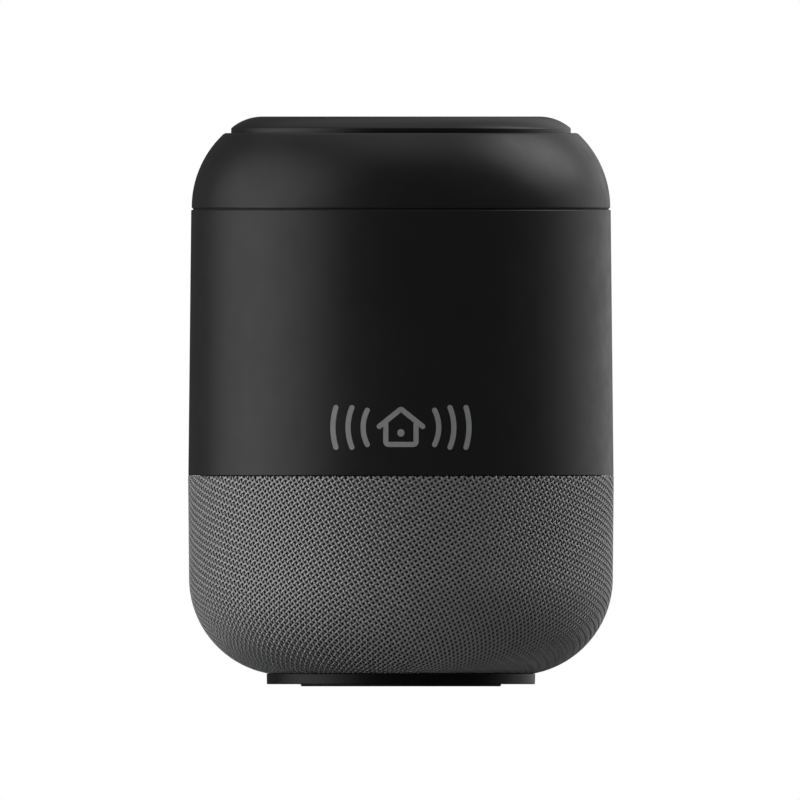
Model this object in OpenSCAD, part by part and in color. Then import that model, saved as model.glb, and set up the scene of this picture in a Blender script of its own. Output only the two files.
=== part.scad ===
// Smart home hub: a small round speaker-style hub with a cloth-wrapped lower third.
// Millimetres. Origin at the centre of the foot's underside, +Z up, front towards -Y.

/* [Body] */
// Largest diameter of the body, at the top of the cloth
body_d = 90; // [89:0.5:92]
// Overall height from the foot to the top of the control panel
body_h = 120.6; // [120.2:0.1:122]
// Wall thickness of the plastic sleeve at its foot
sleeve_wall = 2.8; // [2.4:0.1:2.9]
// Radial gap left around parts that fit inside each other
fit_gap = 0.1; // [0.05:0.01:0.15]

/* [Base and cloth] */
// Diameter of the rubber foot
foot_d = 42.4; // [40:0.2:43]
// Diameter of the base disc
base_d = 56.6; // [56:0.2:58]
// Height of the cloth band's top edge
cloth_top_z = 44.6; // [44.4:0.1:45]
// Thickness of the cloth
cloth_t = 0.6; // [0.5:0.05:0.65]
// Radius of the round lower corner of the cloth
bowl_r = 20.5; // [20:0.1:21]
// Number of sound slots in the basket behind the cloth
slot_count = 36; // [12:4:40]

/* [Top] */
// Radius of the shoulder's round edge
shoulder_r = 21.3; // [21:0.1:21.5]
// Diameter of the control panel
panel_d = 71.9; // [71.4:0.1:72]
// Radius of the play button
play_r = 9; // [7:0.5:10]
// Radius of the three smaller top buttons
key_r = 5.5; // [4.5:0.5:6]
// Distance of the smaller buttons from the centre
key_ring_r = 21; // [20.5:0.1:21.5]
// Travel of every top button
key_travel = 0.4; // [0.2:0.05:0.4]

/* [Rear ports] */
// Height of the row of ports
port_z = 58; // [57.5:0.1:58.5]
// Half the length of the port bezel
bezel_half_l = 19.8; // [19.8:0.1:20]
// Half the height of the port bezel
bezel_half_h = 6.3; // [6:0.1:6.4]
// Radius of the audio jack's bore
jack_bore_r = 1.8; // [1.75:0.05:1.85]

/* [Driver] */
// Radius of the driver's frame
driver_r = 28.5; // [28:0.1:28.6]
// Radius of the voice coil
coil_r = 9.95; // [9.8:0.05:10]

/* [Hidden] */
$fn = 96;

// Colours
black = "#1c1c1d";
soft_black = "#131314";
dark_grey = "#2c2c2e";
cloth_grey = "#5a5a5c";
steel = "#a9adb2";
copper = "#b3703c";
board_green = "#1f4d35";
cream = "#d9d4c4";

// Outer body
body_r = body_d / 2;
foot_r = foot_d / 2;
foot_h = 1.5;
base_r = base_d / 2;
base_z = 0.45;
bowl_lean = 0.2;
bowl_z = 2.2;
bowl_cr = body_r - bowl_lean - bowl_r;
bowl_cz = bowl_z + bowl_r;
tuck_r = 27;
basket_gap = 0.05;
basket_t = 1.55;
basket_in = cloth_t + basket_gap + basket_t;
floor_z = bowl_z + basket_in;

// Sleeve
sleeve_draft = 0.6;
sleeve_top_r = body_r - sleeve_draft;
sleeve_in_r = body_r - sleeve_wall;
seam_z = 100.85;
seam_gap = 0.35;
seam_groove = 0.4;
lower_spigot_z = 39.05;
lower_spigot_r = body_r - basket_in - 0.3;
lower_spigot_in_r = 40.2;
upper_spigot_z = 104.4;
upper_spigot_in_r = 40;

// Shoulder and top
shoulder_cr = sleeve_top_r - fit_gap - shoulder_r;
shoulder_cz = seam_z + 0.5;
shoulder_t = 2;
shoulder_in_r = shoulder_cr + sqrt(pow(shoulder_r - shoulder_t, 2) - pow(upper_spigot_z - shoulder_cz, 2));
upper_spigot_r = shoulder_in_r - fit_gap;
ledge_z = 117.1;
deck_z = 115.2;
deck_t = 2;
panel_r = panel_d / 2;
panel_edge_r = 10.13;
panel_cr = panel_r - 6.65;
panel_cz = body_h - panel_edge_r;
panel_t = 1.8;
panel_in_z = body_h - panel_t;
panel_rim = 1.75;
key_gap = 0.25;
key_top_z = body_h - 0.05;
key_lip = 1.2;
key_lip_t = 0.75;
key_stem_r = 1.8;
key_spots = [[0, 0, play_r], [key_ring_r, 0, key_r], [-key_ring_r, 0, key_r], [0, key_ring_r, key_r]];

// Boards and stack heights
board_t = 1.2;
control_board_z = 109;
control_board_r = 25;
control_top_z = control_board_z + board_t;
main_board_z = 93;
main_board_r = 39;
main_top_z = main_board_z + board_t;
tact_h = 1.6;
tact_top_z = 112.4;
stem_tip_z = tact_top_z + key_travel + 0.05;
pillar_ring_r = 30;
pillar_r = 3;
stake_ring_r = 21.5;
mic_ring_r = 23;
mic_angles = [25, 155, 205, 335];
lamp_y = -23;

// Lower stack
baffle_z = 36;
baffle_t = 3;
baffle_top_z = baffle_z + baffle_t;
baffle_r = 42;
baffle_hole_r = 25.6;
boss_ring_r = 38.3;
boss_r = 2.6;
leg_ring_r = 30.3;
leg_r = 2.2;
base_screw_ring_r = 24.7;
arm_z = 8;
arm_t = 2.5;

// Driver, facing down
gasket_t = 0.8;
frame_z = baffle_top_z + gasket_t;
frame_t = 1.5;
ear_ring_r = 29.4;
ear_r = 2.4;
roll_r = 2.3;
roll_t = 0.4;
roll_cr = 22.6;
neck_z = 45.9;
coil_z = 52.2;
coil_h = 5.5;
coil_t = 0.45;
former_t = 0.2;
top_plate_z = 53.4;
top_plate_t = 3;
magnet_h = 5;
magnet_r = 17;
yoke_t = 2.6;
pole_gap = 0.5;

// Chamber and battery
chamber_r = 34.5;
chamber_wall = 2;
chamber_top_z = 68;
chamber_flat_y = 26;
chamber_step_z = 48;
cell_r = 9.15;
cell_l = 65;
cell_y = 9.4;
cell_z = 78.7;
holder_half_x = 34.5;
holder_half_y = 20;
holder_h = 12;
tab_x = 14;
tab_y = 22.8;
tab_t = 2.5;
lead_y = -27.4;
lead_r = 1.1;
io_ribbon_x = 8;
battery_plug_x = 31.5;
battery_plug_w = 5;
battery_route = [
    [holder_half_x + 0.05, 0, 76], [35.8, 0, 76], [37, 0, 76.6], [37.8, 0, 78], [38, 0, 80],
    [38.2, 0, 83], [38.4, 0, 86], [38.2, 0, 88.6], [37.6, 0, 90.4], [36.6, 0, 91.3], [35.4, 0, 91.5],
    [battery_plug_x + battery_plug_w / 2 + 0.05, 0, 91.5]];
control_ribbon_y = -9;

// Rear ports
bezel_out_r = body_r - 0.4;
bezel_in_r = sleeve_in_r - 1.2;
window_gap = 0.2;
io_y = 33.2;
io_t = 1;
io_face_y = io_y + io_t;
io_post_dz = 5.6;
usb_half_w = 4.47;
usb_half_h = 1.63;
usb_wall = 0.3;
usb_front_y = 44.2;
jack_x = 8.2;
jack_nose_r = 2.8;
jack_front_y = 43.3;
switch_x = -16;
switch_travel = 2;
knob_w = 2.4;
knob_h = 3.2;
knob_tip_y = 42.5;
switch_pocket_y = 38;
pairing_x = 16;
pairing_r = 2;
pairing_tip_y = 42;
pairing_pocket_y = 39;

// Repeats its children at equal steps around Z, at radius r
module ring_of(count, r, first = 0) {
    for (i = [0 : count - 1])
        rotate([0, 0, first + i * 360 / count])
            translate([r, 0, 0])
                children();
}

// Cylinder standing on z
module cylinder_at(r, h, z) {
    translate([0, 0, z])
        cylinder(r = r, h = h);
}

// Tube between two radii, standing on z
module tube(r_out, r_in, h, z = 0) {
    translate([0, 0, z])
        difference() {
            cylinder(r = r_out, h = h);
            translate([0, 0, -1])
                cylinder(r = r_in, h = h + 2);
        }
}

// Pan-head screw pointing up (+Z) from the underside of its head
module screw_up(head_r, head_h, shank_r, length, z) {
    translate([0, 0, z - head_h])
        difference() {
            cylinder(r = head_r, h = head_h);
            translate([0, 0, -1])
                cylinder(r = head_r * 0.45, h = 1 + head_h * 0.6, $fn = 6);
        }
    translate([0, 0, z - 0.01])
        cylinder(r = shank_r, h = length);
}

// The same screw pointing down from z
module screw_down(head_r, head_h, shank_r, length, z) {
    translate([0, 0, z])
        mirror([0, 0, 1])
            screw_up(head_r, head_h, shank_r, length, 0);
}

// Pill-shaped bar along Y, centred at [x, z], from y0 to y1
module pill_y(half_l, half_h, x, z, y0, y1) {
    translate([x, y1, z])
        rotate([90, 0, 0]) {
            translate([half_h - half_l, -half_h, 0])
                cube([2 * (half_l - half_h), 2 * half_h, y1 - y0]);
            for (side = [-1, 1])
                translate([side * (half_l - half_h), 0, 0])
                    cylinder(r = half_h, h = y1 - y0);
        }
}

// Round bar along Y
module bar_y(r, x, z, y0, y1) {
    translate([x, y1, z])
        rotate([90, 0, 0])
            cylinder(r = r, h = y1 - y0);
}

// Box centred on x and z, from y0 to y1
module block_y(w, h, x, z, y0, y1) {
    translate([x - w / 2, y0, z - h / 2])
        cube([w, y1 - y0, h]);
}

// Box centred on x and y, standing on z
module block(w, d, h, x, y, z) {
    translate([x - w / 2, y - d / 2, z])
        cube([w, d, h]);
}

// Half section of the bowl-shaped lower body, pulled in by inset, up to top_z
module bowl_section(inset, top_z) {
    translate([0, bowl_z + inset])
        square([bowl_cr, bowl_cz - bowl_z - inset]);
    intersection() {
        translate([bowl_cr, bowl_cz])
            circle(r = bowl_r - inset);
        translate([bowl_cr, bowl_cz - bowl_r])
            square([bowl_r, bowl_r]);
    }
    polygon([
        [0, bowl_cz], [bowl_cr + bowl_r - inset, bowl_cz], [body_r - inset, top_z], [0, top_z]]);
}

// Repeats its children at the four screw places over the chamber, at height z
module at_tabs(z) {
    for (sx = [-1, 1], sy = [-1, 1])
        translate([sx * tab_x, sy * tab_y, z])
            children();
}

// Ring of a round tube swept along points, as one closed solid with 8 sides
function unit(v) = v / norm(v);
function heading(p, i) = unit(p[min(i + 1, len(p) - 1)] - p[max(i - 1, 0)]);
function across(t) = unit(cross(t, abs(t[0]) < 0.8 ? [1, 0, 0] : [0, 1, 0]));
function ring_points(p, r, sides) = [
    for (i = [0 : len(p) - 1], k = [0 : sides - 1])
        let (t = heading(p, i), u = across(t), v = cross(t, u), a = k * 360 / sides)
            p[i] + r * (cos(a) * u + sin(a) * v)];
module swept_tube(points, r, sides = 8) {
    rings = len(points);
    walls = [
        for (i = [0 : rings - 2], k = [0 : sides - 1])
            let (a = i * sides + k, b = i * sides + (k + 1) % sides)
                each [[a, b + sides, b], [a, a + sides, b + sides]]];
    start = [[for (k = [0 : sides - 1]) k]];
    end = [[for (k = [0 : sides - 1]) rings * sides - 1 - k]];
    polyhedron(points = ring_points(points, r, sides), faces = concat(walls, start, end));
}

// ---- Base and cloth ----

module foot_pad() {
    edge = 0.3;
    color(soft_black)
        rotate_extrude()
            polygon([[0, 0], [foot_r - edge, 0], [foot_r, edge], [foot_r, foot_h], [0, foot_h]]);
}

module base_plate() {
    head_recess_r = 2.1;
    color(soft_black)
        difference() {
            rotate_extrude()
                difference() {
                    translate([0, base_z])
                        square([base_r, floor_z - base_z]);
                    translate([0, bowl_z + cloth_t - basket_gap])
                        square([bowl_cr, bowl_r]);
                    translate([bowl_cr, bowl_cz])
                        circle(r = bowl_r - cloth_t + basket_gap);
                    intersection() {
                        translate([bowl_cr, bowl_cz])
                            circle(r = bowl_r + basket_gap);
                        translate([tuck_r - fit_gap, 0])
                            square([bowl_r, bowl_r]);
                    }
                }
            translate([0, 0, -1])
                cylinder(r = foot_r + 0.15, h = foot_h + 1);
            ring_of(4, base_screw_ring_r) {
                cylinder(r = 1.2, h = bowl_r);
                translate([0, 0, -1])
                    cylinder(r = head_recess_r, h = base_z + 2);
            }
        }
}

module base_screws() {
    color(steel)
        ring_of(4, base_screw_ring_r)
            screw_up(1.9, 0.85, 1.1, 8, base_z + 1);
}

module grille_basket() {
    slot_w = 2;
    slot_z = 8.5;
    slot_h = 25;
    color(dark_grey)
        difference() {
            rotate_extrude()
                difference() {
                    bowl_section(cloth_t + basket_gap, cloth_top_z - fit_gap);
                    bowl_section(basket_in, cloth_top_z + 1);
                }
            ring_of(slot_count, bowl_cr + 7)
                translate([0, -slot_w / 2, slot_z])
                    cube([body_r, slot_w, slot_h]);
            ring_of(4, base_screw_ring_r)
                cylinder(r = 1.2, h = floor_z + 1);
        }
}

module grille_cloth() {
    color(cloth_grey)
        rotate_extrude()
            intersection() {
                difference() {
                    bowl_section(0, cloth_top_z - fit_gap);
                    bowl_section(cloth_t, cloth_top_z + 1);
                }
                translate([tuck_r, 0])
                    square([body_r, cloth_top_z]);
            }
}

// ---- Sleeve, shoulder and control panel ----

module sleeve_section() {
    groove_r = sleeve_top_r - seam_groove;
    groove_z = seam_z + seam_gap - fit_gap;
    polygon([
        [lower_spigot_in_r, lower_spigot_z], [lower_spigot_r, lower_spigot_z],
        [lower_spigot_r, cloth_top_z], [body_r, cloth_top_z],
        [sleeve_top_r, seam_z], [groove_r, seam_z], [groove_r, groove_z], [upper_spigot_r, groove_z],
        [upper_spigot_r, upper_spigot_z], [upper_spigot_in_r, upper_spigot_z],
        [upper_spigot_in_r, seam_z - 2], [sleeve_in_r, seam_z - 4],
        [sleeve_in_r, cloth_top_z + 2.5], [lower_spigot_in_r, cloth_top_z + 0.5]]);
}

module body_sleeve() {
    boss_h = 9;
    lug_z = 88.5;
    web = 2.4;
    color(black)
        difference() {
            union() {
                rotate_extrude()
                    sleeve_section();
                ring_of(4, boss_ring_r, 45)
                    translate([0, 0, lower_spigot_z]) {
                        cylinder(r = boss_r, h = boss_h);
                        translate([0, -web / 2, 0])
                            cube([sleeve_in_r - boss_ring_r + 0.5, web, boss_h]);
                    }
                ring_of(4, pillar_ring_r, 45)
                    translate([0, 0, lug_z]) {
                        cylinder(r = pillar_r, h = main_board_z - lug_z);
                        translate([0, -web / 2, 0])
                            cube([sleeve_in_r - pillar_ring_r + 0.5, web, main_board_z - lug_z]);
                    }
            }
            ring_of(4, boss_ring_r, 45)
                translate([0, 0, lower_spigot_z - 1])
                    cylinder(r = 1.1, h = boss_h);
            ring_of(4, pillar_ring_r, 45)
                translate([0, 0, lug_z - 1])
                    cylinder(r = 1.3, h = main_board_z - lug_z + 2);
            pill_y(bezel_half_l + window_gap, bezel_half_h + window_gap, 0, port_z, io_y, body_r + 1);
        }
}

module shoulder_section() {
    difference() {
        union() {
            intersection() {
                translate([shoulder_cr, shoulder_cz])
                    circle(r = shoulder_r);
                translate([shoulder_r * 0.7, seam_z + seam_gap])
                    square([body_r, ledge_z - seam_z - seam_gap]);
            }
            translate([0, deck_z - deck_t])
                square([shoulder_r * 0.8, deck_t]);
        }
        translate([0, seam_z])
            square([shoulder_cr, deck_z - deck_t - seam_z]);
        intersection() {
            translate([shoulder_cr, shoulder_cz])
                circle(r = shoulder_r - shoulder_t);
            translate([0, seam_z])
                square([body_r, deck_z - deck_t - seam_z]);
        }
        translate([0, deck_z])
            square([panel_r + 0.15, body_h - deck_z]);
    }
}

module shoulder_ring() {
    stake_r = 2.2;
    color(black)
        difference() {
            union() {
                rotate_extrude()
                    shoulder_section();
                ring_of(4, pillar_ring_r, 45)
                    translate([0, 0, main_top_z])
                        cylinder(r = pillar_r, h = deck_z - main_top_z - 0.5);
                ring_of(4, stake_ring_r, 45)
                    translate([0, 0, control_top_z])
                        cylinder(r = stake_r, h = deck_z - control_top_z - 0.5);
            }
            ring_of(4, pillar_ring_r, 45) {
                translate([0, 0, main_top_z - 1])
                    cylinder(r = 1.35, h = deck_z - main_top_z + 2);
                translate([0, 0, deck_z - 1.6])
                    cylinder(r = 2.4, h = 3);
            }
            ring_of(4, stake_ring_r, 45)
                translate([0, 0, control_top_z - 1])
                    cylinder(r = 0.95, h = 4);
            for (k = key_spots)
                translate([k[0], k[1], deck_z - deck_t - 1])
                    cylinder(r = key_stem_r + 0.4, h = deck_t + 2);
            for (a = mic_angles)
                rotate([0, 0, a])
                    translate([mic_ring_r, 0, deck_z - deck_t - 1])
                        cylinder(r = 0.7, h = deck_t + 2);
            translate([0, lamp_y, deck_z - deck_t - 1])
                cylinder(r = 1.5, h = deck_t + 2);
        }
}

module shoulder_screws() {
    color(steel)
        ring_of(4, pillar_ring_r, 45)
            screw_down(2.2, 1.4, 1.25, 24, deck_z - 1.6);
}

module control_panel() {
    color(soft_black)
        difference() {
            rotate_extrude()
                difference() {
                    union() {
                        translate([0, deck_z])
                            square([panel_cr, body_h - deck_z]);
                        intersection() {
                            translate([panel_cr, panel_cz])
                                circle(r = panel_edge_r);
                            translate([panel_cr, deck_z])
                                square([panel_r - panel_cr, body_h - deck_z]);
                        }
                    }
                    translate([0, deck_z - 1])
                        square([panel_r - panel_rim, panel_in_z - deck_z + 1]);
                }
            for (k = key_spots)
                translate([k[0], k[1], panel_in_z - 1])
                    cylinder(r = k[2] + key_gap, h = panel_t + 2);
            for (a = mic_angles)
                rotate([0, 0, a])
                    translate([mic_ring_r, 0, panel_in_z - 1])
                        cylinder(r = 0.6, h = panel_t + 2);
            translate([0, lamp_y, panel_in_z - 1])
                cylinder(r = 1.3, h = panel_t + 2);
        }
}

// Round top button with a retaining lip and a stem down to its switch
module top_button(spot) {
    lip_z = panel_in_z - key_gap - key_lip_t;
    color(soft_black)
        translate([spot[0], spot[1], 0]) {
            translate([0, 0, lip_z])
                cylinder(r = spot[2], h = key_top_z - lip_z);
            translate([0, 0, lip_z])
                cylinder(r = spot[2] + key_lip, h = key_lip_t);
            translate([0, 0, stem_tip_z])
                cylinder(r = key_stem_r, h = lip_z - stem_tip_z + 0.1);
        }
}

module play_button() {
    top_button(key_spots[0]);
}

module volume_up_button() {
    top_button(key_spots[1]);
}

module volume_down_button() {
    top_button(key_spots[2]);
}

module mic_mute_button() {
    top_button(key_spots[3]);
}

module status_light_pipe() {
    color("#c9ccd0")
        translate([0, lamp_y, 0]) {
            translate([0, 0, control_top_z + 1.2])
                cylinder(r = 1.2, h = key_top_z - control_top_z - 1.2);
            translate([0, 0, deck_z])
                cylinder(r = 2, h = 1);
        }
}

// ---- Rear ports ----

// Part of a ring of the body between two radii, inside a pill around the port row
module bezel_slice(r_out, r_in, half_l, half_h) {
    intersection() {
        tube(r_out, r_in, 2 * half_h + 2, port_z - half_h - 1);
        pill_y(half_l, half_h, 0, port_z, io_y, body_r + 1);
    }
}

module port_bezel() {
    post_r = 1.7;
    pocket_h = 5.2;
    color(soft_black)
        difference() {
            union() {
                bezel_slice(bezel_out_r, bezel_in_r, bezel_half_l, bezel_half_h);
                bezel_slice(sleeve_in_r - fit_gap, bezel_in_r, bezel_half_l + 1.8, bezel_half_h + 1.7);
                for (side = [-1, 1])
                    bar_y(post_r, 0, port_z + side * io_post_dz, io_face_y, bezel_in_r + 0.5);
            }
            for (side = [-1, 1])
                bar_y(0.95, 0, port_z + side * io_post_dz, io_face_y - 1, bezel_in_r - 1);
            pill_y(usb_half_w + 0.15, usb_half_h + 0.15, 0, port_z, io_y, body_r + 1);
            bar_y(jack_nose_r + 0.15, jack_x, port_z, io_y, body_r + 1);
            bar_y(pairing_r + 0.2, pairing_x, port_z, io_y, body_r + 1);
            bar_y(pairing_r + 1, pairing_x, port_z, io_y, pairing_pocket_y);
            block_y(knob_w + switch_travel + 0.6, knob_h + 0.6, switch_x + switch_travel / 2,
                port_z, io_y, body_r + 1);
            block_y(8.4, pocket_h, switch_x + switch_travel / 2, port_z, io_y, switch_pocket_y);
        }
}

module io_board() {
    color(board_green)
        difference() {
            block_y(40, 15, 0, port_z, io_y, io_face_y);
            for (side = [-1, 1])
                bar_y(1.1, 0, port_z + side * io_post_dz, io_y - 1, io_face_y + 1);
        }
}

module io_board_screws() {
    color(steel)
        for (side = [-1, 1])
            translate([0, io_y, port_z + side * io_post_dz])
                rotate([-90, 0, 0])
                    screw_up(1.7, 1, 0.9, 6, 0);
}

module usb_c_socket() {
    color(steel)
        difference() {
            pill_y(usb_half_w, usb_half_h, 0, port_z, io_face_y, usb_front_y);
            pill_y(usb_half_w - usb_wall, usb_half_h - usb_wall, 0, port_z, io_face_y + 2, usb_front_y + 1);
        }
    color(soft_black)
        block_y(6.7, 0.7, 0, port_z, io_face_y + 1.9, usb_front_y - 0.8);
}

module aux_jack() {
    color(soft_black)
        difference() {
            union() {
                block_y(6.4, 7, jack_x, port_z, io_face_y, jack_front_y - 4.6);
                bar_y(jack_nose_r, jack_x, port_z, io_face_y + 1, jack_front_y);
            }
            bar_y(jack_bore_r, jack_x, port_z, io_face_y + 1, jack_front_y + 1);
        }
}

module power_switch_body() {
    color(steel)
        block_y(7.2, 4.4, switch_x + switch_travel / 2, port_z, io_face_y, io_face_y + 1.8);
}

module power_switch_knob() {
    slider_t = 0.8;
    slider_y = io_face_y + 2.1;
    color(soft_black) {
        block_y(4, 4, switch_x, port_z, slider_y, slider_y + slider_t);
        block_y(knob_w, knob_h, switch_x, port_z, slider_y + slider_t - 0.1, knob_tip_y);
    }
}

module pairing_button() {
    lip_t = 0.8;
    lip_y = pairing_pocket_y - 0.3 - lip_t;
    color(soft_black) {
        bar_y(pairing_r, pairing_x, port_z, lip_y, pairing_tip_y);
        bar_y(pairing_r + 0.7, pairing_x, port_z, lip_y, lip_y + lip_t);
    }
}

module pairing_tact_switch() {
    color(steel) {
        block_y(4, 4, pairing_x, port_z, io_face_y, io_face_y + 2.2);
        bar_y(1, pairing_x, port_z, io_face_y + 2, io_face_y + 3.2);
    }
}

// Flat flex cable: a thin strip along [across, z] points, w wide
module ribbon(points, w, t = 0.3) {
    back = [for (i = [len(points) - 1 : -1 : 0]) points[i] + [t, 0]];
    linear_extrude(height = w, center = true)
        polygon(concat(points, back));
}

module io_ribbon() {
    color(copper)
        translate([io_ribbon_x, 0, 0])
            rotate([90, 0, 90])
                ribbon([[32.8, 62], [30.5, 66], [30, 70], [30, 86], [30.5, 89.5]], 10);
}

// ---- Speaker ----

module sound_deflector() {
    tip_z = 20;
    hub_r = 15;
    arm_r = 6;
    boss_lift = 0.35;
    curve_r = tip_z - floor_z;
    color(dark_grey)
        difference() {
            union() {
                rotate_extrude()
                    difference() {
                        translate([0, floor_z + basket_gap])
                            square([hub_r, curve_r - 1.5]);
                        translate([hub_r + 1.5, tip_z + 1])
                            circle(r = curve_r - 1);
                    }
                ring_of(4, 0)
                    translate([arm_r, -leg_r, arm_z])
                        cube([leg_ring_r - arm_r, 2 * leg_r, arm_t]);
                ring_of(4, leg_ring_r)
                    translate([0, 0, arm_z])
                        cylinder(r = leg_r, h = baffle_z - arm_z);
                ring_of(4, base_screw_ring_r)
                    translate([0, 0, floor_z + boss_lift])
                        cylinder(r = boss_r, h = arm_z - floor_z + 1);
            }
            ring_of(4, leg_ring_r)
                translate([0, 0, baffle_z - 8])
                    cylinder(r = 0.95, h = 9);
            ring_of(4, base_screw_ring_r)
                translate([0, 0, floor_z - 1])
                    cylinder(r = 1.15, h = 7);
        }
}

module deflector_screws() {
    color(steel)
        ring_of(4, leg_ring_r)
            screw_down(1.45, 1.1, 0.9, 9, baffle_top_z);
}

module speaker_baffle() {
    color(dark_grey)
        difference() {
            cylinder_at(baffle_r, baffle_t, baffle_z);
            cylinder_at(baffle_hole_r, baffle_t + 2, baffle_z - 1);
            ring_of(4, leg_ring_r)
                cylinder_at(1, baffle_t + 2, baffle_z - 1);
            ring_of(4, boss_ring_r, 45)
                cylinder_at(1.15, baffle_t + 2, baffle_z - 1);
            ring_of(4, ear_ring_r, 45)
                cylinder_at(1, baffle_t, baffle_z + 0.5);
        }
}

module baffle_screws() {
    color(steel)
        ring_of(4, boss_ring_r, 45)
            screw_up(2, 1.4, 1.05, 9, baffle_z);
}

module baffle_gasket() {
    color(soft_black)
        tube(driver_r - 0.9, baffle_hole_r + 0.7, gasket_t, baffle_top_z);
}

// Stamped frame: flange with four ears, an open cone and a seat for the magnet
module driver_basket() {
    cone_top = 52.2;
    seat_r = 17.5;
    wall = 1;
    color(steel)
        difference() {
            union() {
                rotate_extrude()
                    polygon([
                        [roll_cr + roll_r, frame_z], [driver_r, frame_z], [driver_r, frame_z + frame_t],
                        [roll_cr + roll_r + 1.5, frame_z + frame_t], [seat_r, 49.5], [seat_r, top_plate_z],
                        [coil_r + 2.1, top_plate_z], [coil_r + 2.1, cone_top],
                        [seat_r - wall, cone_top], [seat_r - wall, 50.6], [seat_r - 2.2, 50.6],
                        [seat_r - 2.2, 50.1], [seat_r - wall, 50.1], [seat_r - wall, 49.6],
                        [roll_cr + roll_r, frame_z + frame_t]]);
                ring_of(4, ear_ring_r, 45)
                    cylinder_at(ear_r, frame_t, frame_z);
            }
            ring_of(6, 0, 30)
                translate([seat_r - wall - 0.5, -4, frame_z + frame_t + 0.8])
                    cube([seat_r, 8, 5.4]);
            ring_of(4, ear_ring_r, 45)
                cylinder_at(1.05, frame_t + 2, frame_z - 1);
        }
}

module driver_surround() {
    lip = 1.1;
    color(soft_black)
        rotate_extrude() {
            difference() {
                intersection() {
                    translate([roll_cr, frame_z])
                        circle(r = roll_r);
                    translate([roll_cr - roll_r, frame_z - roll_r])
                        square([2 * roll_r, roll_r]);
                }
                translate([roll_cr, frame_z])
                    circle(r = roll_r - roll_t);
            }
            for (r = [roll_cr - roll_r - lip, roll_cr + roll_r - 0.1])
                translate([r, frame_z - roll_t])
                    square([lip + 0.1, roll_t]);
        }
}

module driver_cone() {
    rim_r = roll_cr - roll_r;
    t = 0.5;
    color(dark_grey)
        rotate_extrude()
            polygon([
                [rim_r - 1.1, frame_z], [rim_r, frame_z], [rim_r, frame_z + t],
                [coil_r + t, neck_z], [coil_r, neck_z], [coil_r, neck_z - 1], [rim_r - 1.1, frame_z + t]]);
}

module dust_cap() {
    dome_r = 14;
    t = 0.4;
    color(soft_black)
        rotate_extrude()
            intersection() {
                difference() {
                    translate([0, neck_z - 2 + dome_r * 0.72])
                        circle(r = dome_r);
                    translate([0, neck_z - 2 + dome_r * 0.72])
                        circle(r = dome_r - t);
                }
                translate([0, frame_z])
                    square([coil_r - 0.3, neck_z - 2.2 - frame_z]);
            }
}

module voice_coil_former() {
    color(copper)
        tube(coil_r - 0.02, coil_r - 0.02 - former_t, coil_z + coil_h + 0.5 - neck_z + 2, neck_z - 2);
}

module voice_coil_winding() {
    color(copper)
        tube(coil_r + coil_t, coil_r, coil_h, coil_z);
}

// Corrugated ring that centres the voice coil
module driver_spider() {
    outer_r = 16.3;
    inner_r = coil_r;
    steps = 12;
    wave = 0.35;
    t = 0.35;
    z = 49.7;
    line = [
        for (i = [0 : steps])
            [inner_r + (outer_r - inner_r) * i / steps,
                z + wave * sin(i * 720 / steps) * (i < steps - 1 ? 1 : 0)]];
    back = [for (i = [steps : -1 : 0]) line[i] + [0, t]];
    color("#8a6a3a")
        rotate_extrude()
            polygon(concat(line, back));
}

module driver_top_plate() {
    color(steel)
        tube(magnet_r - 1, coil_r + coil_t + pole_gap, top_plate_t, top_plate_z);
}

module driver_magnet() {
    color("#3a3a3d")
        tube(magnet_r, coil_r + 2.6, magnet_h, top_plate_z + top_plate_t);
}

module driver_yoke() {
    pole_r = coil_r - former_t - 0.02 - pole_gap;
    yoke_z = top_plate_z + top_plate_t + magnet_h;
    color(steel)
        difference() {
            union() {
                cylinder_at(magnet_r - 1, yoke_t, yoke_z);
                cylinder_at(pole_r, yoke_z - top_plate_z + 0.5, top_plate_z);
            }
            cylinder_at(2, 20, top_plate_z - 1);
        }
}

module driver_terminals() {
    color(copper)
        translate([-5, lead_y - 0.8, frame_z + frame_t])
            cube([10, 1.6, 5.5]);
}

module driver_screws() {
    color(steel)
        ring_of(4, ear_ring_r, 45)
            screw_down(1.8, 1.3, 0.95, 4.2, frame_z + frame_t);
}

// Cylinder over the driver, cut flat at the back above step_z
module chamber_body(r, top_z, flat_y, step_z) {
    difference() {
        cylinder_at(r, top_z - baffle_top_z, baffle_top_z);
        translate([-r - 1, flat_y, step_z])
            cube([2 * r + 2, r, top_z]);
    }
}

// Sealed box over the driver, with a flat back that leaves room for the ports
module acoustic_chamber() {
    inner_r = chamber_r - chamber_wall;
    color(dark_grey)
        difference() {
            chamber_body(chamber_r, chamber_top_z, chamber_flat_y, chamber_step_z);
            difference() {
                translate([0, 0, -1])
                    chamber_body(inner_r, chamber_top_z - chamber_wall + 1,
                        chamber_flat_y - chamber_wall, chamber_step_z - chamber_wall + 1);
                at_tabs(chamber_top_z - 8)
                    cylinder(r = 2.4, h = 8);
            }
            at_tabs(chamber_top_z - 6.5)
                cylinder(r = 1.05, h = 8);
            translate([0, lead_y, chamber_top_z - 4])
                cylinder(r = lead_r + 0.2, h = 6);
        }
}

// ---- Battery ----

module battery_holder() {
    color(dark_grey)
        difference() {
            union() {
                block(2 * holder_half_x, 2 * holder_half_y, holder_h, 0, 0, chamber_top_z);
                at_tabs(chamber_top_z)
                    cylinder(r = 3, h = tab_t);
            }
            for (sy = [-1, 1])
                translate([-cell_l / 2 - 0.1, sy * cell_y, cell_z])
                    rotate([0, 90, 0])
                        cylinder(r = cell_r + 0.15, h = cell_l + 0.2);
            at_tabs(chamber_top_z - 1)
                cylinder(r = 1.15, h = 4);
            at_tabs(chamber_top_z + tab_t)
                cylinder(r = 2.2, h = holder_h);
        }
}

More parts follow.
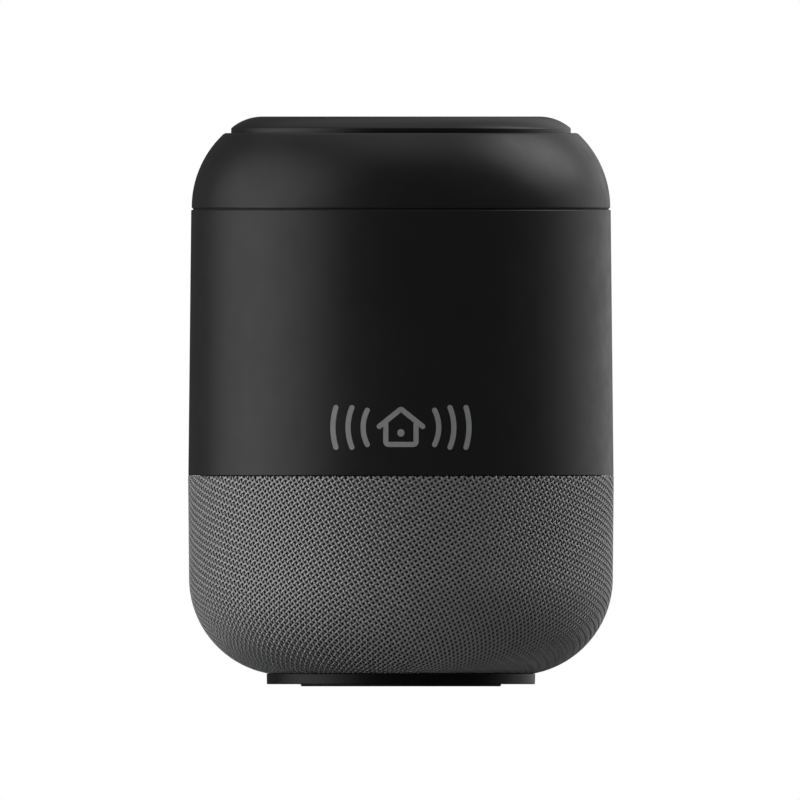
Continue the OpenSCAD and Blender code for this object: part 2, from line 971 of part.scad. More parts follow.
module battery_cells() {
    color("#5d6f8c")
        for (sy = [-1, 1])
            translate([-cell_l / 2, sy * cell_y, cell_z])
                rotate([0, 90, 0])
                    cylinder(r = cell_r, h = cell_l);
}

module holder_screws() {
    color(steel)
        at_tabs(chamber_top_z + tab_t)
            screw_down(1.9, 1.2, 1, 8.5, 0);
}

module battery_lead() {
    color("#a02c2c")
        swept_tube(battery_route, lead_r);
}

// ---- Speaker lead ----

module speaker_lead() {
    top_z = 90;
    start_z = frame_z + frame_t + 5.6;
    color("#2b2b2b")
        translate([0, lead_y, start_z])
            cylinder(r = lead_r, h = top_z - start_z);
}

// ---- Electronics ----

module main_board() {
    color(board_green)
        difference() {
            cylinder_at(main_board_r, board_t, main_board_z);
            ring_of(4, pillar_ring_r, 45)
                cylinder_at(1.4, board_t + 2, main_board_z - 1);
        }
}

module processor_chips() {
    color("#26262a") {
        block(14, 14, 1.2, 12, 6, main_top_z);
        block(9, 11, 1, 12, -10, main_top_z);
        block(7, 7, 1, -2, -20, main_top_z);
        block(8, 5, 1.4, 26, -14, main_top_z);
    }
}

module thermal_pad() {
    color("#7d8fa3")
        block(12, 12, 1, 12, 6, main_top_z + 1.2);
}

module rf_shield_can() {
    wall = 0.3;
    h = 2.8;
    color(steel)
        difference() {
            block(22, 18, h, -15, 8, main_top_z);
            block(22 - 2 * wall, 18 - 2 * wall, h, -15, 8, main_top_z - wall);
        }
}

module board_connectors() {
    socket_h = 3;
    flat_h = 1.6;
    color(cream) {
        block(8, 5, socket_h, 0, lead_y, main_board_z - socket_h);
        block(battery_plug_w, 8, socket_h, battery_plug_x, 0, main_board_z - socket_h);
        block(12, 3, socket_h, io_ribbon_x, 31, main_board_z - socket_h);
        block(3, 8, flat_h, -18, control_ribbon_y, main_top_z);
        block(3, 8, flat_h, -16, control_ribbon_y, control_board_z - flat_h);
    }
}

module wifi_antennas() {
    color(copper)
        for (side = [-1, 1])
            block(1, 12, 6, -35, side * 11, main_top_z);
}

module control_board() {
    color(board_green)
        difference() {
            cylinder_at(control_board_r, board_t, control_board_z);
            ring_of(4, stake_ring_r, 45)
                cylinder_at(1.1, board_t + 2, control_board_z - 1);
        }
}

module control_board_screws() {
    color(steel)
        ring_of(4, stake_ring_r, 45)
            screw_up(1.7, 1.1, 0.9, 3.8, control_board_z);
}

module tact_switches() {
    color(steel)
        for (k = key_spots)
            translate([k[0], k[1], 0]) {
                block(4.5, 4.5, tact_h, 0, 0, control_top_z);
                cylinder_at(1, tact_top_z - control_top_z, control_top_z);
            }
}

module microphones() {
    color("#c8b26a")
        for (a = mic_angles)
            rotate([0, 0, a])
                block(3, 2.4, 1, mic_ring_r, 0, control_top_z);
}

module status_led() {
    color("#f2f2ea")
        block(2, 1.6, 0.8, 0, lamp_y, control_top_z);
}

module control_ribbon() {
    color(copper)
        translate([0, control_ribbon_y, 0])
            rotate([90, 0, 0])
                ribbon([[-18, 96], [-18.5, 99], [-17.5, 103], [-16, 107.2]], 6);
}

foot_pad();
base_plate();
base_screws();
grille_basket();
grille_cloth();
body_sleeve();
shoulder_ring();
shoulder_screws();
control_panel();
play_button();
volume_up_button();
volume_down_button();
mic_mute_button();
status_light_pipe();
port_bezel();
io_board();
io_board_screws();
usb_c_socket();
aux_jack();
power_switch_body();
power_switch_knob();
pairing_button();
pairing_tact_switch();
io_ribbon();
sound_deflector();
deflector_screws();
speaker_baffle();
baffle_screws();
baffle_gasket();
driver_basket();
driver_surround();
driver_cone();
dust_cap();
voice_coil_former();
voice_coil_winding();
driver_spider();
driver_top_plate();
driver_magnet();
driver_yoke();
driver_terminals();
driver_screws();
acoustic_chamber();
speaker_lead();
battery_holder();
battery_cells();
battery_lead();
holder_screws();
main_board();
processor_chips();
rf_shield_can();
thermal_pad();
board_connectors();
wifi_antennas();
control_board();
control_board_screws();
tact_switches();
microphones();
status_led();
control_ribbon();
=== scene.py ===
"""Looks of a small round smart home hub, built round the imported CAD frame.

Shapes are worked out in millimetres from the CAD nodes' boxes and turned into metres when a mesh is made.
"""

from math import acos, asin, atan2, cos, degrees, hypot, pi, radians, sin, sqrt, tan

import bmesh
import bpy
import numpy as np
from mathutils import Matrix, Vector


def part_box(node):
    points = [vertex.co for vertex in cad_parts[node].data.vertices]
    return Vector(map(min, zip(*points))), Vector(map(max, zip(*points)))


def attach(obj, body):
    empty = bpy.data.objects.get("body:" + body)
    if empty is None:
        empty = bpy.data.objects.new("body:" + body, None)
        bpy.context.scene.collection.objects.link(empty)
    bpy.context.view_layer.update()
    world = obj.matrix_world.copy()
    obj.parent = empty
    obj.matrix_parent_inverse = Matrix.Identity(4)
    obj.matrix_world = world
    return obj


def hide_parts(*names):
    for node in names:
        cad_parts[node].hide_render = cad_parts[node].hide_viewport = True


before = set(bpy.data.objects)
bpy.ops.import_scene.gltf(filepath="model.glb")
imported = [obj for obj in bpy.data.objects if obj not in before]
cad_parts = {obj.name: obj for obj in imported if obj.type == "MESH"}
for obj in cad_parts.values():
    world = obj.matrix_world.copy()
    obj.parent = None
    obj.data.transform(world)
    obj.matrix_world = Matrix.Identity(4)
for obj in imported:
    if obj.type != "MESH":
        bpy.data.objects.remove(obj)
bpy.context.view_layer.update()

MM = 0.001
SEGMENTS = 256
HOUSING = "housing"


# ---------- Sizes, in mm, from the frame ----------

def span(node):
    """Lowest and highest corner of a CAD node, in mm."""
    low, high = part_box(node)
    return Vector(low) / MM, Vector(high) / MM


cloth_low, cloth_high = span("grille_cloth")
sleeve_low, sleeve_high = span("body_sleeve")
shoulder_low, shoulder_high = span("shoulder_ring")
panel_low, panel_high = span("control_panel")
base_low, base_high = span("base_plate")
foot_high = span("foot_pad")[1]

BODY_R = cloth_high.x
SLEEVE_FOOT_Z = cloth_high.z + 0.1
SEAM_Z = 100.85
SEAM_GAP = 0.28
SEAM_GROOVE = 0.4
SLEEVE_TOP_R = BODY_R - 0.6
SLEEVE_WALL = 2.6

SHOULDER_ARC_R = 21.3
SHOULDER_ARC_Z = SEAM_Z + 0.5
SHOULDER_ARC_X = shoulder_high.x - SHOULDER_ARC_R
LEDGE_Z = shoulder_high.z

DECK_Z = panel_low.z
PANEL_R = panel_high.x
PANEL_TOP_Z = panel_high.z
PANEL_EDGE_R = 10.13
PANEL_FLAT_R = PANEL_R - 6.65
PANEL_WALL = 1.8

BASE_SCREW_RING_R = 24.7
BASKET_SCREW_RING_R = 38.3
SHOULDER_SCREW_RING_R = 30.0
BOARD_SCREW_RING_R = 21.5

BASE_R = base_high.x
FOOT_R = foot_high.x

BOWL_R = 20.5
BOWL_Z = cloth_low.z + BOWL_R
BOWL_X = BODY_R - 0.2 - BOWL_R
TUCK_R = 27.0


# ---------- Outlines ----------

def arc(x, y, radius, start, end, steps):
    """Points of an arc round (x, y), angles in degrees."""
    turns = (radians(start + (end - start) * i / steps) for i in range(steps + 1))
    return [(x + radius * cos(a), y + radius * sin(a)) for a in turns]


def rounded(corners, closed=True, steps=5):
    """A line through corners (x, y) or (x, y, radius), with an arc of that radius at each corner."""
    points = []
    for i, corner in enumerate(corners):
        radius = corner[2] if len(corner) > 2 else 0
        is_end = not closed and i in (0, len(corners) - 1)
        if radius == 0 or is_end:
            points.append(corner[:2])
            continue
        here = Vector(corner[:2])
        back = (Vector(corners[i - 1][:2]) - here).normalized()
        ahead = (Vector(corners[(i + 1) % len(corners)][:2]) - here).normalized()
        half = back.angle(ahead) / 2
        centre = here + (back + ahead).normalized() * radius / sin(half)
        first = here + back * radius / tan(half) - centre
        last = here + ahead * radius / tan(half) - centre
        start = atan2(first.y, first.x)
        sweep = (atan2(last.y, last.x) - start + pi) % (2 * pi) - pi
        points += arc(centre.x, centre.y, radius, degrees(start), degrees(start + sweep), steps)
    return points


def rounded_box(x, z, half_w, half_h, radius, steps=5):
    """Outline of a rectangle round (x, z) with rounded corners."""
    return rounded([(x - half_w, z - half_h, radius), (x + half_w, z - half_h, radius),
                    (x + half_w, z + half_h, radius), (x - half_w, z + half_h, radius)], steps=steps)


def pill_point(x, z, half_length, half_height):
    """The point of a pill outline round the origin that lies nearest to (x, z)."""
    core = half_length - half_height
    on_core = max(-core, min(core, x))
    reach = hypot(x - on_core, z)
    return on_core + (x - on_core) * half_height / reach, z * half_height / reach


def pill(x, z, half_length, half_height, steps=16):
    """Points of a pill outline centred at (x, z)."""
    core = half_length - half_height
    return (arc(x + core, z, half_height, -90, 90, steps)
            + arc(x - core, z, half_height, 90, 270, steps))


def circle(x, y, radius, steps=48):
    return arc(x, y, radius, 0, 360, steps)[:-1]


def quarter_turn(steps):
    """Angles above 0 and up to a quarter turn."""
    return [pi / 2 * i / steps for i in range(1, steps + 1)]


# ---------- Meshes ----------

def lathe(profile, segments=SEGMENTS):
    """Points and faces of a closed (r, z) outline turned round the Z axis."""
    points = []
    rings = []
    for r, z in profile:
        first = len(points)
        if r < 1e-6:
            points.append((0, 0, z))
            rings.append([first])
            continue
        turns = (2 * pi * i / segments for i in range(segments))
        points += [(r * cos(a), r * sin(a), z) for a in turns]
        rings.append(list(range(first, first + segments)))
    faces = []
    for ring, after in zip(rings, rings[1:] + rings[:1]):
        for i in range(segments):
            k = (i + 1) % segments
            face = [ring[i % len(ring)], ring[k % len(ring)], after[k % len(after)], after[i % len(after)]]
            face = list(dict.fromkeys(face))
            if len(face) > 2:
                faces.append(face)
    return points, faces


def prism(outline, low, high, axis="z"):
    """Points and faces of a closed outline pushed from low to high along z, or along y."""
    count = len(outline)
    if axis == "z":
        points = [(x, y, h) for h in (low, high) for x, y in outline]
    else:
        points = [(x, h, z) for h in (low, high) for x, z in outline]
    sides = [[i, (i + 1) % count, count + (i + 1) % count, count + i] for i in range(count)]
    return points, sides + [list(range(count))[::-1], list(range(count, 2 * count))]


def tube(inner, outer, low, high):
    """An upright tube with softened ends."""
    soft = 0.15
    corners = [(inner, low, soft), (outer, low, soft), (outer, high, soft), (inner, high, soft)]
    return lathe(rounded(corners, steps=2), 48)


def bridge(ring, after):
    """Faces between two closed rings of as many point numbers."""
    count = len(ring)
    return [[ring[i], ring[(i + 1) % count], after[(i + 1) % count], after[i]] for i in range(count)]


def moved(shape, x=0.0, y=0.0, z=0.0):
    points, faces = shape
    return [(p[0] + x, p[1] + y, p[2] + z) for p in points], faces


def four_round(shape, radius, start=45):
    """Four copies of a shape, a quarter turn apart at a radius from the Z axis."""
    turns = [radians(start + 90 * i) for i in range(4)]
    return [moved(shape, radius * cos(a), radius * sin(a)) for a in turns]


def joined(*shapes):
    """Several shapes as one list of points and faces."""
    points, faces = [], []
    for more_points, more_faces in shapes:
        start = len(points)
        points += more_points
        faces += [[start + i for i in face] for face in more_faces]
    return points, faces


def new_object(name, shape):
    """A mesh object from points in mm, with its faces turned outwards."""
    points, faces = shape
    mesh = bpy.data.meshes.new(name)
    mesh.from_pydata([(x * MM, y * MM, z * MM) for x, y, z in points], [], faces)
    work = bmesh.new()
    work.from_mesh(mesh)
    bmesh.ops.recalc_face_normals(work, faces=work.faces)
    work.to_mesh(mesh)
    work.free()
    obj = bpy.data.objects.new(name, mesh)
    bpy.context.scene.collection.objects.link(obj)
    return obj


def apply_modifiers(obj):
    """Replaces the object's mesh by its modified one."""
    view = bpy.context.evaluated_depsgraph_get()
    mesh = bpy.data.meshes.new_from_object(obj.evaluated_get(view))
    obj.modifiers.clear()
    obj.data = mesh


def cut(obj, *shapes):
    """Takes each shape out of the object."""
    cutter = new_object("cutter", joined(*shapes))
    boolean = obj.modifiers.new("cut", "BOOLEAN")
    boolean.operation = "DIFFERENCE"
    boolean.solver = "EXACT"
    boolean.object = cutter
    apply_modifiers(obj)
    bpy.data.objects.remove(cutter)


def soften(obj, width, segments=3):
    """Rounds every sharp edge."""
    bevel = obj.modifiers.new("soften", "BEVEL")
    bevel.width = width * MM
    bevel.segments = segments
    bevel.limit_method = "ANGLE"
    bevel.angle_limit = radians(50)
    bevel.harden_normals = False
    apply_modifiers(obj)


def dress(obj, body, slot, material=None, sharp=38):
    """Shades, colours and hangs a finished mesh on its body, in its slot's material unless one is given."""
    obj.data.shade_smooth()
    obj.data.set_sharp_from_angle(angle=radians(sharp))
    weighted = obj.modifiers.new("even_normals", "WEIGHTED_NORMAL")
    weighted.keep_sharp = True
    weighted.weight = 80
    obj.data.materials.clear()
    obj.data.materials.append(material or MATERIALS[slot])
    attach(obj, body)


# ---------- Materials ----------

def put(node, **values):
    """Sets a node's inputs by name, written with _ for a space."""
    for socket, value in values.items():
        node.inputs[socket.replace("_", " ")].default_value = value


class Nodes:
    """A short way to build a Principled material."""

    def __init__(self, name, colour, roughness, metallic=0.0, **sockets):
        self.material = bpy.data.materials.new(name)
        self.material.use_nodes = True
        self.tree = self.material.node_tree
        self.shader = self.tree.nodes["Principled BSDF"]
        put(self.shader, Base_Color=(*colour, 1), Roughness=roughness, Metallic=metallic, **sockets)
        self.place = self.tree.nodes.new("ShaderNodeTexCoord").outputs["Object"]

    def node(self, kind, **settings):
        made = self.tree.nodes.new(kind)
        for key, value in settings.items():
            setattr(made, key, value)
        return made

    def link(self, source, target):
        self.tree.links.new(source, target)

    def noise(self, scale, detail=3.0, roughness=0.5, stretch=(1, 1, 1)):
        """Noise of the given number of cells a millimetre."""
        made = self.node("ShaderNodeTexNoise")
        put(made, Scale=scale / MM, Detail=detail, Roughness=roughness)
        mapping = self.node("ShaderNodeMapping")
        put(mapping, Scale=stretch)
        self.link(self.place, mapping.inputs["Vector"])
        self.link(mapping.outputs["Vector"], made.inputs["Vector"])
        return made.outputs["Fac"]

    def vary_colour(self, source, dark, light, start=0.3, end=0.7):
        made = self.node("ShaderNodeValToRGB")
        made.color_ramp.elements[0].position = start
        made.color_ramp.elements[0].color = (*dark, 1)
        made.color_ramp.elements[1].position = end
        made.color_ramp.elements[1].color = (*light, 1)
        self.link(source, made.inputs["Fac"])
        self.link(made.outputs["Color"], self.shader.inputs["Base Color"])

    def vary_roughness(self, source, low, high):
        made = self.node("ShaderNodeMapRange")
        put(made, From_Min=0.3, From_Max=0.7, To_Min=low, To_Max=high)
        self.link(source, made.inputs["Value"])
        self.link(made.outputs["Result"], self.shader.inputs["Roughness"])

    def bump(self, source, height):
        """Bump of the given height in mm."""
        made = self.node("ShaderNodeBump")
        put(made, Distance=height * MM)
        self.link(source, made.inputs["Height"])
        self.link(made.outputs["Normal"], self.shader.inputs["Normal"])


def grey(value):
    return (value, value, value * 1.02)


def moulded(name, colour, roughness, grain=0.004, cells=9.0, spread=0.12, specular=0.5):
    """Moulded plastic with a fine spark-eroded grain."""
    made = Nodes(name, colour, roughness, Specular_IOR_Level=specular)
    fine = made.noise(cells, detail=2)
    cloudy = made.noise(0.06, detail=4)
    made.vary_colour(cloudy, [c * 0.92 for c in colour], [c * 1.08 for c in colour])
    made.vary_roughness(made.noise(0.2, detail=5), roughness * (1 - spread), roughness * (1 + spread))
    made.bump(fine, grain)
    return made.material


def metal(name, colour, roughness, brushed=(1, 1, 1)):
    """Metal with fine directional scratches."""
    made = Nodes(name, colour, roughness, metallic=1.0)
    scratches = made.noise(4, detail=6, roughness=0.7, stretch=brushed)
    made.vary_colour(made.noise(0.3), [c * 0.85 for c in colour], colour)
    made.vary_roughness(scratches, roughness * 0.7, roughness * 1.4)
    made.bump(scratches, 0.003)
    return made.material


def rubber_material():
    made = Nodes("rubber", grey(0.012), 0.75, Specular_IOR_Level=0.35)
    made.vary_colour(made.noise(0.5), grey(0.009), grey(0.018))
    made.vary_roughness(made.noise(1.5), 0.65, 0.85)
    made.bump(made.noise(6, detail=4), 0.01)
    return made.material


def board_material():
    """Solder mask over faint copper tracks."""
    made = Nodes("circuit_board", (0.01, 0.08, 0.035), 0.35)
    tracks = made.node("ShaderNodeTexBrick")
    put(tracks, Scale=120)
    made.link(made.place, tracks.inputs["Vector"])
    made.vary_colour(tracks.outputs["Fac"], (0.01, 0.07, 0.03), (0.02, 0.16, 0.07))
    made.bump(tracks.outputs["Fac"], 0.03)
    return made.material


def speckled(name, dark, light, roughness, cells, height=0.01):
    """A plain finish with small mottling, for foam, paper, ferrite and wraps."""
    made = Nodes(name, light, roughness)
    mottle = made.noise(cells, detail=5)
    made.vary_colour(mottle, dark, light)
    made.vary_roughness(mottle, roughness * 0.85, roughness * 1.1)
    made.bump(mottle, height)
    return made.material


def lamp_material():
    made = Nodes("lamp", (0.75, 0.76, 0.78), 0.3, Transmission_Weight=0.4,
                 Emission_Color=(0.9, 0.95, 1, 1), Emission_Strength=0.12)
    made.vary_roughness(made.noise(1.2), 0.25, 0.4)
    return made.material


def print_material(name, shade):
    """Pad-printed ink."""
    made = Nodes(name, grey(shade), 0.5, Specular_IOR_Level=0.3)
    made.vary_colour(made.noise(0.8, detail=5), grey(shade * 0.93), grey(shade * 1.05))
    made.bump(made.noise(12, detail=3), 0.003)
    return made.material


def yarn_material():
    """Polyester yarn of twisted filaments, with slow changes of shade over the cloth."""
    made = Nodes("cloth", grey(0.152), 0.37, Specular_IOR_Level=1.0, IOR=2.25)
    yarn = made.node("ShaderNodeAttribute", attribute_name="yarn")
    parts = made.node("ShaderNodeSeparateXYZ")
    made.link(yarn.outputs["Vector"], parts.inputs["Vector"])
    twist = made.node("ShaderNodeCombineXYZ")
    made.link(parts.outputs["X"], twist.inputs["X"])
    made.link(parts.outputs["Y"], twist.inputs["Y"])
    filaments = made.node("ShaderNodeTexWave", bands_direction="DIAGONAL")
    put(filaments, Scale=3.0, Distortion=1.5)
    made.link(twist.outputs["Vector"], filaments.inputs["Vector"])
    mottle = made.noise(1.1, detail=2)
    made.vary_colour(mottle, grey(0.132), grey(0.172), 0.35, 0.65)
    made.bump(filaments.outputs["Fac"], 0.02)
    return made.material


BLACK = grey(0.011)

# One for each slot name in the record
MATERIALS = {
    "body_plastic": moulded("body_plastic", BLACK, 0.36, specular=0.33),
    "panel_plastic": moulded("panel_plastic", grey(0.009), 0.34, spread=0.05, specular=0.33),
    "inner_plastic": moulded("inner_plastic", grey(0.02), 0.5, grain=0.01, cells=4),
    "rubber": rubber_material(),
    "cloth": yarn_material(),
    "screw_steel": metal("screw_steel", (0.42, 0.43, 0.45), 0.3),
    "plate_steel": metal("plate_steel", (0.55, 0.56, 0.58), 0.28, brushed=(1, 12, 1)),
    "copper": metal("copper", (0.72, 0.38, 0.2), 0.32),
    "circuit_board": board_material(),
    "chip": moulded("chip", grey(0.022), 0.55, grain=0.006),
    "connector": moulded("connector", (0.55, 0.52, 0.43), 0.45),
    "cell_wrap": speckled("cell_wrap", (0.06, 0.1, 0.19), (0.09, 0.15, 0.27), 0.3, 0.3, 0.004),
    "lamp": lamp_material(),
    "paper": speckled("paper", (0.015, 0.015, 0.016), (0.035, 0.034, 0.033), 0.85, 1.5),
    "ferrite": speckled("ferrite", (0.03, 0.03, 0.033), (0.06, 0.06, 0.063), 0.6, 2.0),
    "foam": speckled("foam", (0.045, 0.045, 0.045), (0.09, 0.09, 0.09), 0.95, 3.0, 0.05),
    "lead": speckled("lead", (0.10, 0.012, 0.012), (0.17, 0.02, 0.02), 0.45, 0.6),
}

# Shades that pieces wear in place of their slot's
SEAM_BLACK = moulded("seam_black", BLACK, 0.5, specular=0.2)
# Base disc: black plastic made darker than the body's black, as painted shade for the shade that falls under
# the body
BASE_BLACK_PAINTED_SHADE = moulded("base_black_painted_shade", grey(0.004), 0.36, specular=0.2)
ICON_INK = print_material("icon_ink", 0.30)
MARK_INK = print_material("mark_ink", 0.28)


def dress_cad_nodes():
    """Gives each shown CAD node the material of its slot in the record."""
    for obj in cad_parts.values():
        for i, slot in enumerate(obj.material_slots):
            name = slot.material.name.split(".")[0] if slot.material else "inner_plastic"
            obj.material_slots[i].material = MATERIALS.get(name, MATERIALS["inner_plastic"])


# ---------- Base and foot ----------

def make_base_disc():
    """Thin black disc under the cloth, dished under its middle and bored for four screws."""
    disc_r = BASE_R + 0.12
    tuck_z = BOWL_Z - sqrt(BOWL_R ** 2 - (disc_r - BOWL_X) ** 2) - 0.1
    low = base_low.z
    top = base_high.z - 0.4
    dish_r = FOOT_R + 0.15
    neck_r = TUCK_R - 0.15
    screw_head_r = 2.1
    profile = rounded([
        (0, low + 0.6), (dish_r, low + 0.6, 0.1), (dish_r, low, 0.15),
        (disc_r - 0.05, low, 0.2), (disc_r, tuck_z - 0.45, 0.2), (disc_r, tuck_z, 0.1),
        (neck_r, tuck_z - 0.1), (neck_r, top, 0.3), (0, top)])
    disc = new_object("base_disc", lathe(profile))
    recess = prism(circle(0, 0, screw_head_r), low - 1, low + 1)
    cut(disc, *four_round(recess, BASE_SCREW_RING_R, 0))
    soften(disc, 0.12, 2)
    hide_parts("base_plate")
    # The disc wears a black darker than the body's: painted shade, standing in for the shade under the body
    dress(disc, HOUSING, "body_plastic", BASE_BLACK_PAINTED_SHADE)


def make_foot():
    """Rubber foot with three moulded rings round a shallow dish."""
    groove = 0.25
    ring_radii = [FOOT_R - 8.4, FOOT_R - 5.4, FOOT_R - 2.4]
    corners = [(0, groove)]
    for r in ring_radii:
        corners += [(r - 1.2, groove, 0.1), (r - 1.0, 0, 0.1), (r + 1.0, 0, 0.1), (r + 1.2, groove, 0.1)]
    corners += [(FOOT_R - 0.9, groove, 0.1), (FOOT_R - 0.8, 0, 0.1), (FOOT_R, 0, 0.3),
                (FOOT_R, foot_high.z, 0.1), (0, foot_high.z)]
    foot = new_object("rubber_foot", lathe(rounded(corners)))
    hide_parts("foot_pad")
    dress(foot, HOUSING, "rubber")


# ---------- Cloth: a plain weave of real yarns on a lattice that closes round the body ----------

BIAS_YARNS = 153
CROSS_YARNS = 255
CROSSING_SAMPLES = 3
YARN_TURNS = np.radians([0, 50, 130, 180, 270])
YARN_SIDES = len(YARN_TURNS)
YARN_HALF_THICK = 0.12
CLOTH_INSET = 0.15
CORNER_R = BOWL_R - CLOTH_INSET
TUCK_ANGLE = acos((TUCK_R - BOWL_X) / BOWL_R)
# Seen from the front, the weave stays even down to this angle round the lower corner, and opens up below it
EVEN_ANGLE = radians(50)
CORNER_LENGTH = CORNER_R * TUCK_ANGLE
CORNER_WEAVE = CORNER_R * (sin(EVEN_ANGLE) + (TUCK_ANGLE - EVEN_ANGLE) * cos(EVEN_ANGLE))
STRAIGHT_LENGTH = cloth_high.z - BOWL_Z - 0.08


def cloth_profile(along):
    """Points and outward normals of the cloth's middle, at distances along it from the tucked edge."""
    turn = np.minimum(along / CORNER_R, TUCK_ANGLE) - TUCK_ANGLE
    climb = np.maximum(along - CORNER_LENGTH, 0)
    lean = (BODY_R - (BOWL_X + BOWL_R)) / (cloth_high.z - BOWL_Z)
    radius = BOWL_X + CORNER_R * np.cos(turn) + climb * lean
    height = BOWL_Z + CORNER_R * np.sin(turn) + climb
    return radius, height, np.cos(turn), np.sin(turn)


def stretched(weave):
    """Distances along the cloth of lengths of weave, which opens up as it is pulled over the round corner."""
    below = (CORNER_WEAVE - weave) / CORNER_R
    even = np.arcsin(np.clip(below, 0, sin(EVEN_ANGLE)))
    opened = EVEN_ANGLE + (below - sin(EVEN_ANGLE)) / cos(EVEN_ANGLE)
    turn = np.where(below < sin(EVEN_ANGLE), even, opened)
    return np.where(below > 0, CORNER_R * (TUCK_ANGLE - turn), CORNER_LENGTH - below * CORNER_R)


def unit(vectors):
    return vectors / np.linalg.norm(vectors, axis=1)[:, None]


def yarn_points(u, v, lift, half_width):
    """Rings of points round a yarn that runs at u round the body and v up the weave, lifted off the cloth."""
    radius, height, out_r, out_z = cloth_profile(stretched(v))
    shrink = np.sqrt(radius / BODY_R)
    turn = u / BODY_R
    normal = np.stack([out_r * np.cos(turn), out_r * np.sin(turn), out_z], 1)
    centre = np.stack([radius * np.cos(turn), radius * np.sin(turn), height], 1)
    centre += normal * (lift * shrink)[:, None]
    along = np.gradient(centre, axis=0)
    side = unit(np.cross(along, normal))
    upward = unit(np.cross(side, along)) * YARN_HALF_THICK
    side *= (half_width * shrink)[:, None]
    rings = [centre + side * cos(a) + upward * sin(a) for a in YARN_TURNS]
    return np.stack(rings, 1).reshape(-1, 3)


def yarn_faces(rings, start):
    """Quads along a yarn of so many rings, whose points are numbered from start, and a face at each end."""
    ring = np.arange(rings - 1)[:, None] * YARN_SIDES + start
    here = np.arange(YARN_SIDES)[None, :]
    there = (here + 1) % YARN_SIDES
    quads = [ring + here, ring + there, ring + YARN_SIDES + there, ring + YARN_SIDES + here]
    ends = [here[0][::-1] + start, here[0] + start + (rings - 1) * YARN_SIDES]
    return np.stack(quads, 2).reshape(-1, 4), np.stack(ends)


def yarn_mesh(points, quads, ends):
    """A mesh from arrays, because a list of this many faces would be slow."""
    corners = np.concatenate([quads.ravel(), ends.ravel()])
    starts = np.concatenate([np.arange(0, quads.size, 4), np.arange(quads.size, corners.size, YARN_SIDES)])
    mesh = bpy.data.meshes.new("woven_cloth")
    mesh.vertices.add(len(points))
    mesh.vertices.foreach_set("co", (points * MM).ravel())
    mesh.loops.add(len(corners))
    mesh.loops.foreach_set("vertex_index", corners)
    mesh.polygons.add(len(starts))
    mesh.polygons.foreach_set("loop_start", starts)
    mesh.update(calc_edges=True)
    return mesh


def make_cloth():
    """Every yarn is a flattened tube that goes over and under the yarns that it crosses."""
    pitch = 2 * pi * BODY_R / hypot(BIAS_YARNS, CROSS_YARNS)
    bias = atan2(BIAS_YARNS, CROSS_YARNS)
    length = CORNER_WEAVE + STRAIGHT_LENGTH
    wave = 0.12
    draw = np.random.default_rng(7)
    # One pitch along a yarn goes up by rise and round by run. The offsets lead on to the next yarn.
    families = [(BIAS_YARNS, sin(bias), cos(bias), cos(bias), -sin(bias), 1, 0.238),
                (CROSS_YARNS, cos(bias), sin(bias), -sin(bias), cos(bias), -1, 0.214)]
    all_points, all_quads, all_ends, all_tags = [], [], [], []
    start = 0
    for count, rise, offset_rise, run, offset_run, sign, half_width in families:
        for number in range(count):
            first = -number * offset_rise / rise
            last = first + length / pitch / rise
            rings = int(round((last - first) * CROSSING_SAMPLES)) + 1
            step = np.linspace(first, last, rings)
            u = pitch * (step * run + number * offset_run)
            v = np.clip(pitch * (step * rise + number * offset_rise), 0, length)
            lift = sign * wave * np.cos(pi * (step + number))
            plump = draw.uniform(0.96, 1.04)
            all_points.append(yarn_points(u, v, lift, half_width * plump))
            quads, ends = yarn_faces(rings, start)
            all_quads.append(quads)
            all_ends.append(ends)
            all_tags.append(np.stack([
                np.repeat(step * pitch + draw.uniform(0, 50), YARN_SIDES),
                np.tile(YARN_TURNS / pi, rings),
                np.full(rings * YARN_SIDES, draw.uniform())], 1))
            start += rings * YARN_SIDES
    mesh = yarn_mesh(np.concatenate(all_points), np.concatenate(all_quads), np.concatenate(all_ends))
    tags = mesh.attributes.new("yarn", "FLOAT_VECTOR", "POINT")
    tags.data.foreach_set("vector", np.concatenate(all_tags).astype(np.float32).ravel())
    mesh.shade_smooth()
    mesh.materials.append(MATERIALS["cloth"])
    cloth = bpy.data.objects.new("woven_cloth", mesh)
    bpy.context.scene.collection.objects.link(cloth)
    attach(cloth, HOUSING)
    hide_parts("grille_cloth")


def make_scrim():
    """Thin black felt between the cloth and its basket, which keeps the sound slots from showing."""
    thick = 0.08
    inset = 0.5

    def side(depth):
        corner = arc(BOWL_X, BOWL_Z, BOWL_R - depth, -degrees(TUCK_ANGLE), 0, 40)
        return corner + [(BODY_R - depth, cloth_high.z - 0.1)]

    scrim = new_object("acoustic_scrim", lathe(side(inset) + side(inset + thick)[::-1], 128))
    dress(scrim, HOUSING, "foam")


# ---------- Sleeve ----------

PORT_Z = 58.0
WINDOW_HALF_L = 20.0
WINDOW_HALF_H = 6.5
SLEEVE_COLUMNS = 240
WINDOW_COLUMNS = 20
WINDOW_ROWS = 12
WINDOW_HALF_RECT = 8.6


def sleeve_radius(z):
    """Outer radius of the sleeve at height z."""
    share = (z - SLEEVE_FOOT_Z) / (SEAM_Z - SLEEVE_FOOT_Z)
    return BODY_R + (SLEEVE_TOP_R - BODY_R) * max(0, min(1, share))


def sleeve_point(x, z, depth):
    """A point at the rear of the sleeve, at x and z, some depth inside its outer face."""
    r = sleeve_radius(z) - depth
    return x, sqrt(r * r - x * x), z


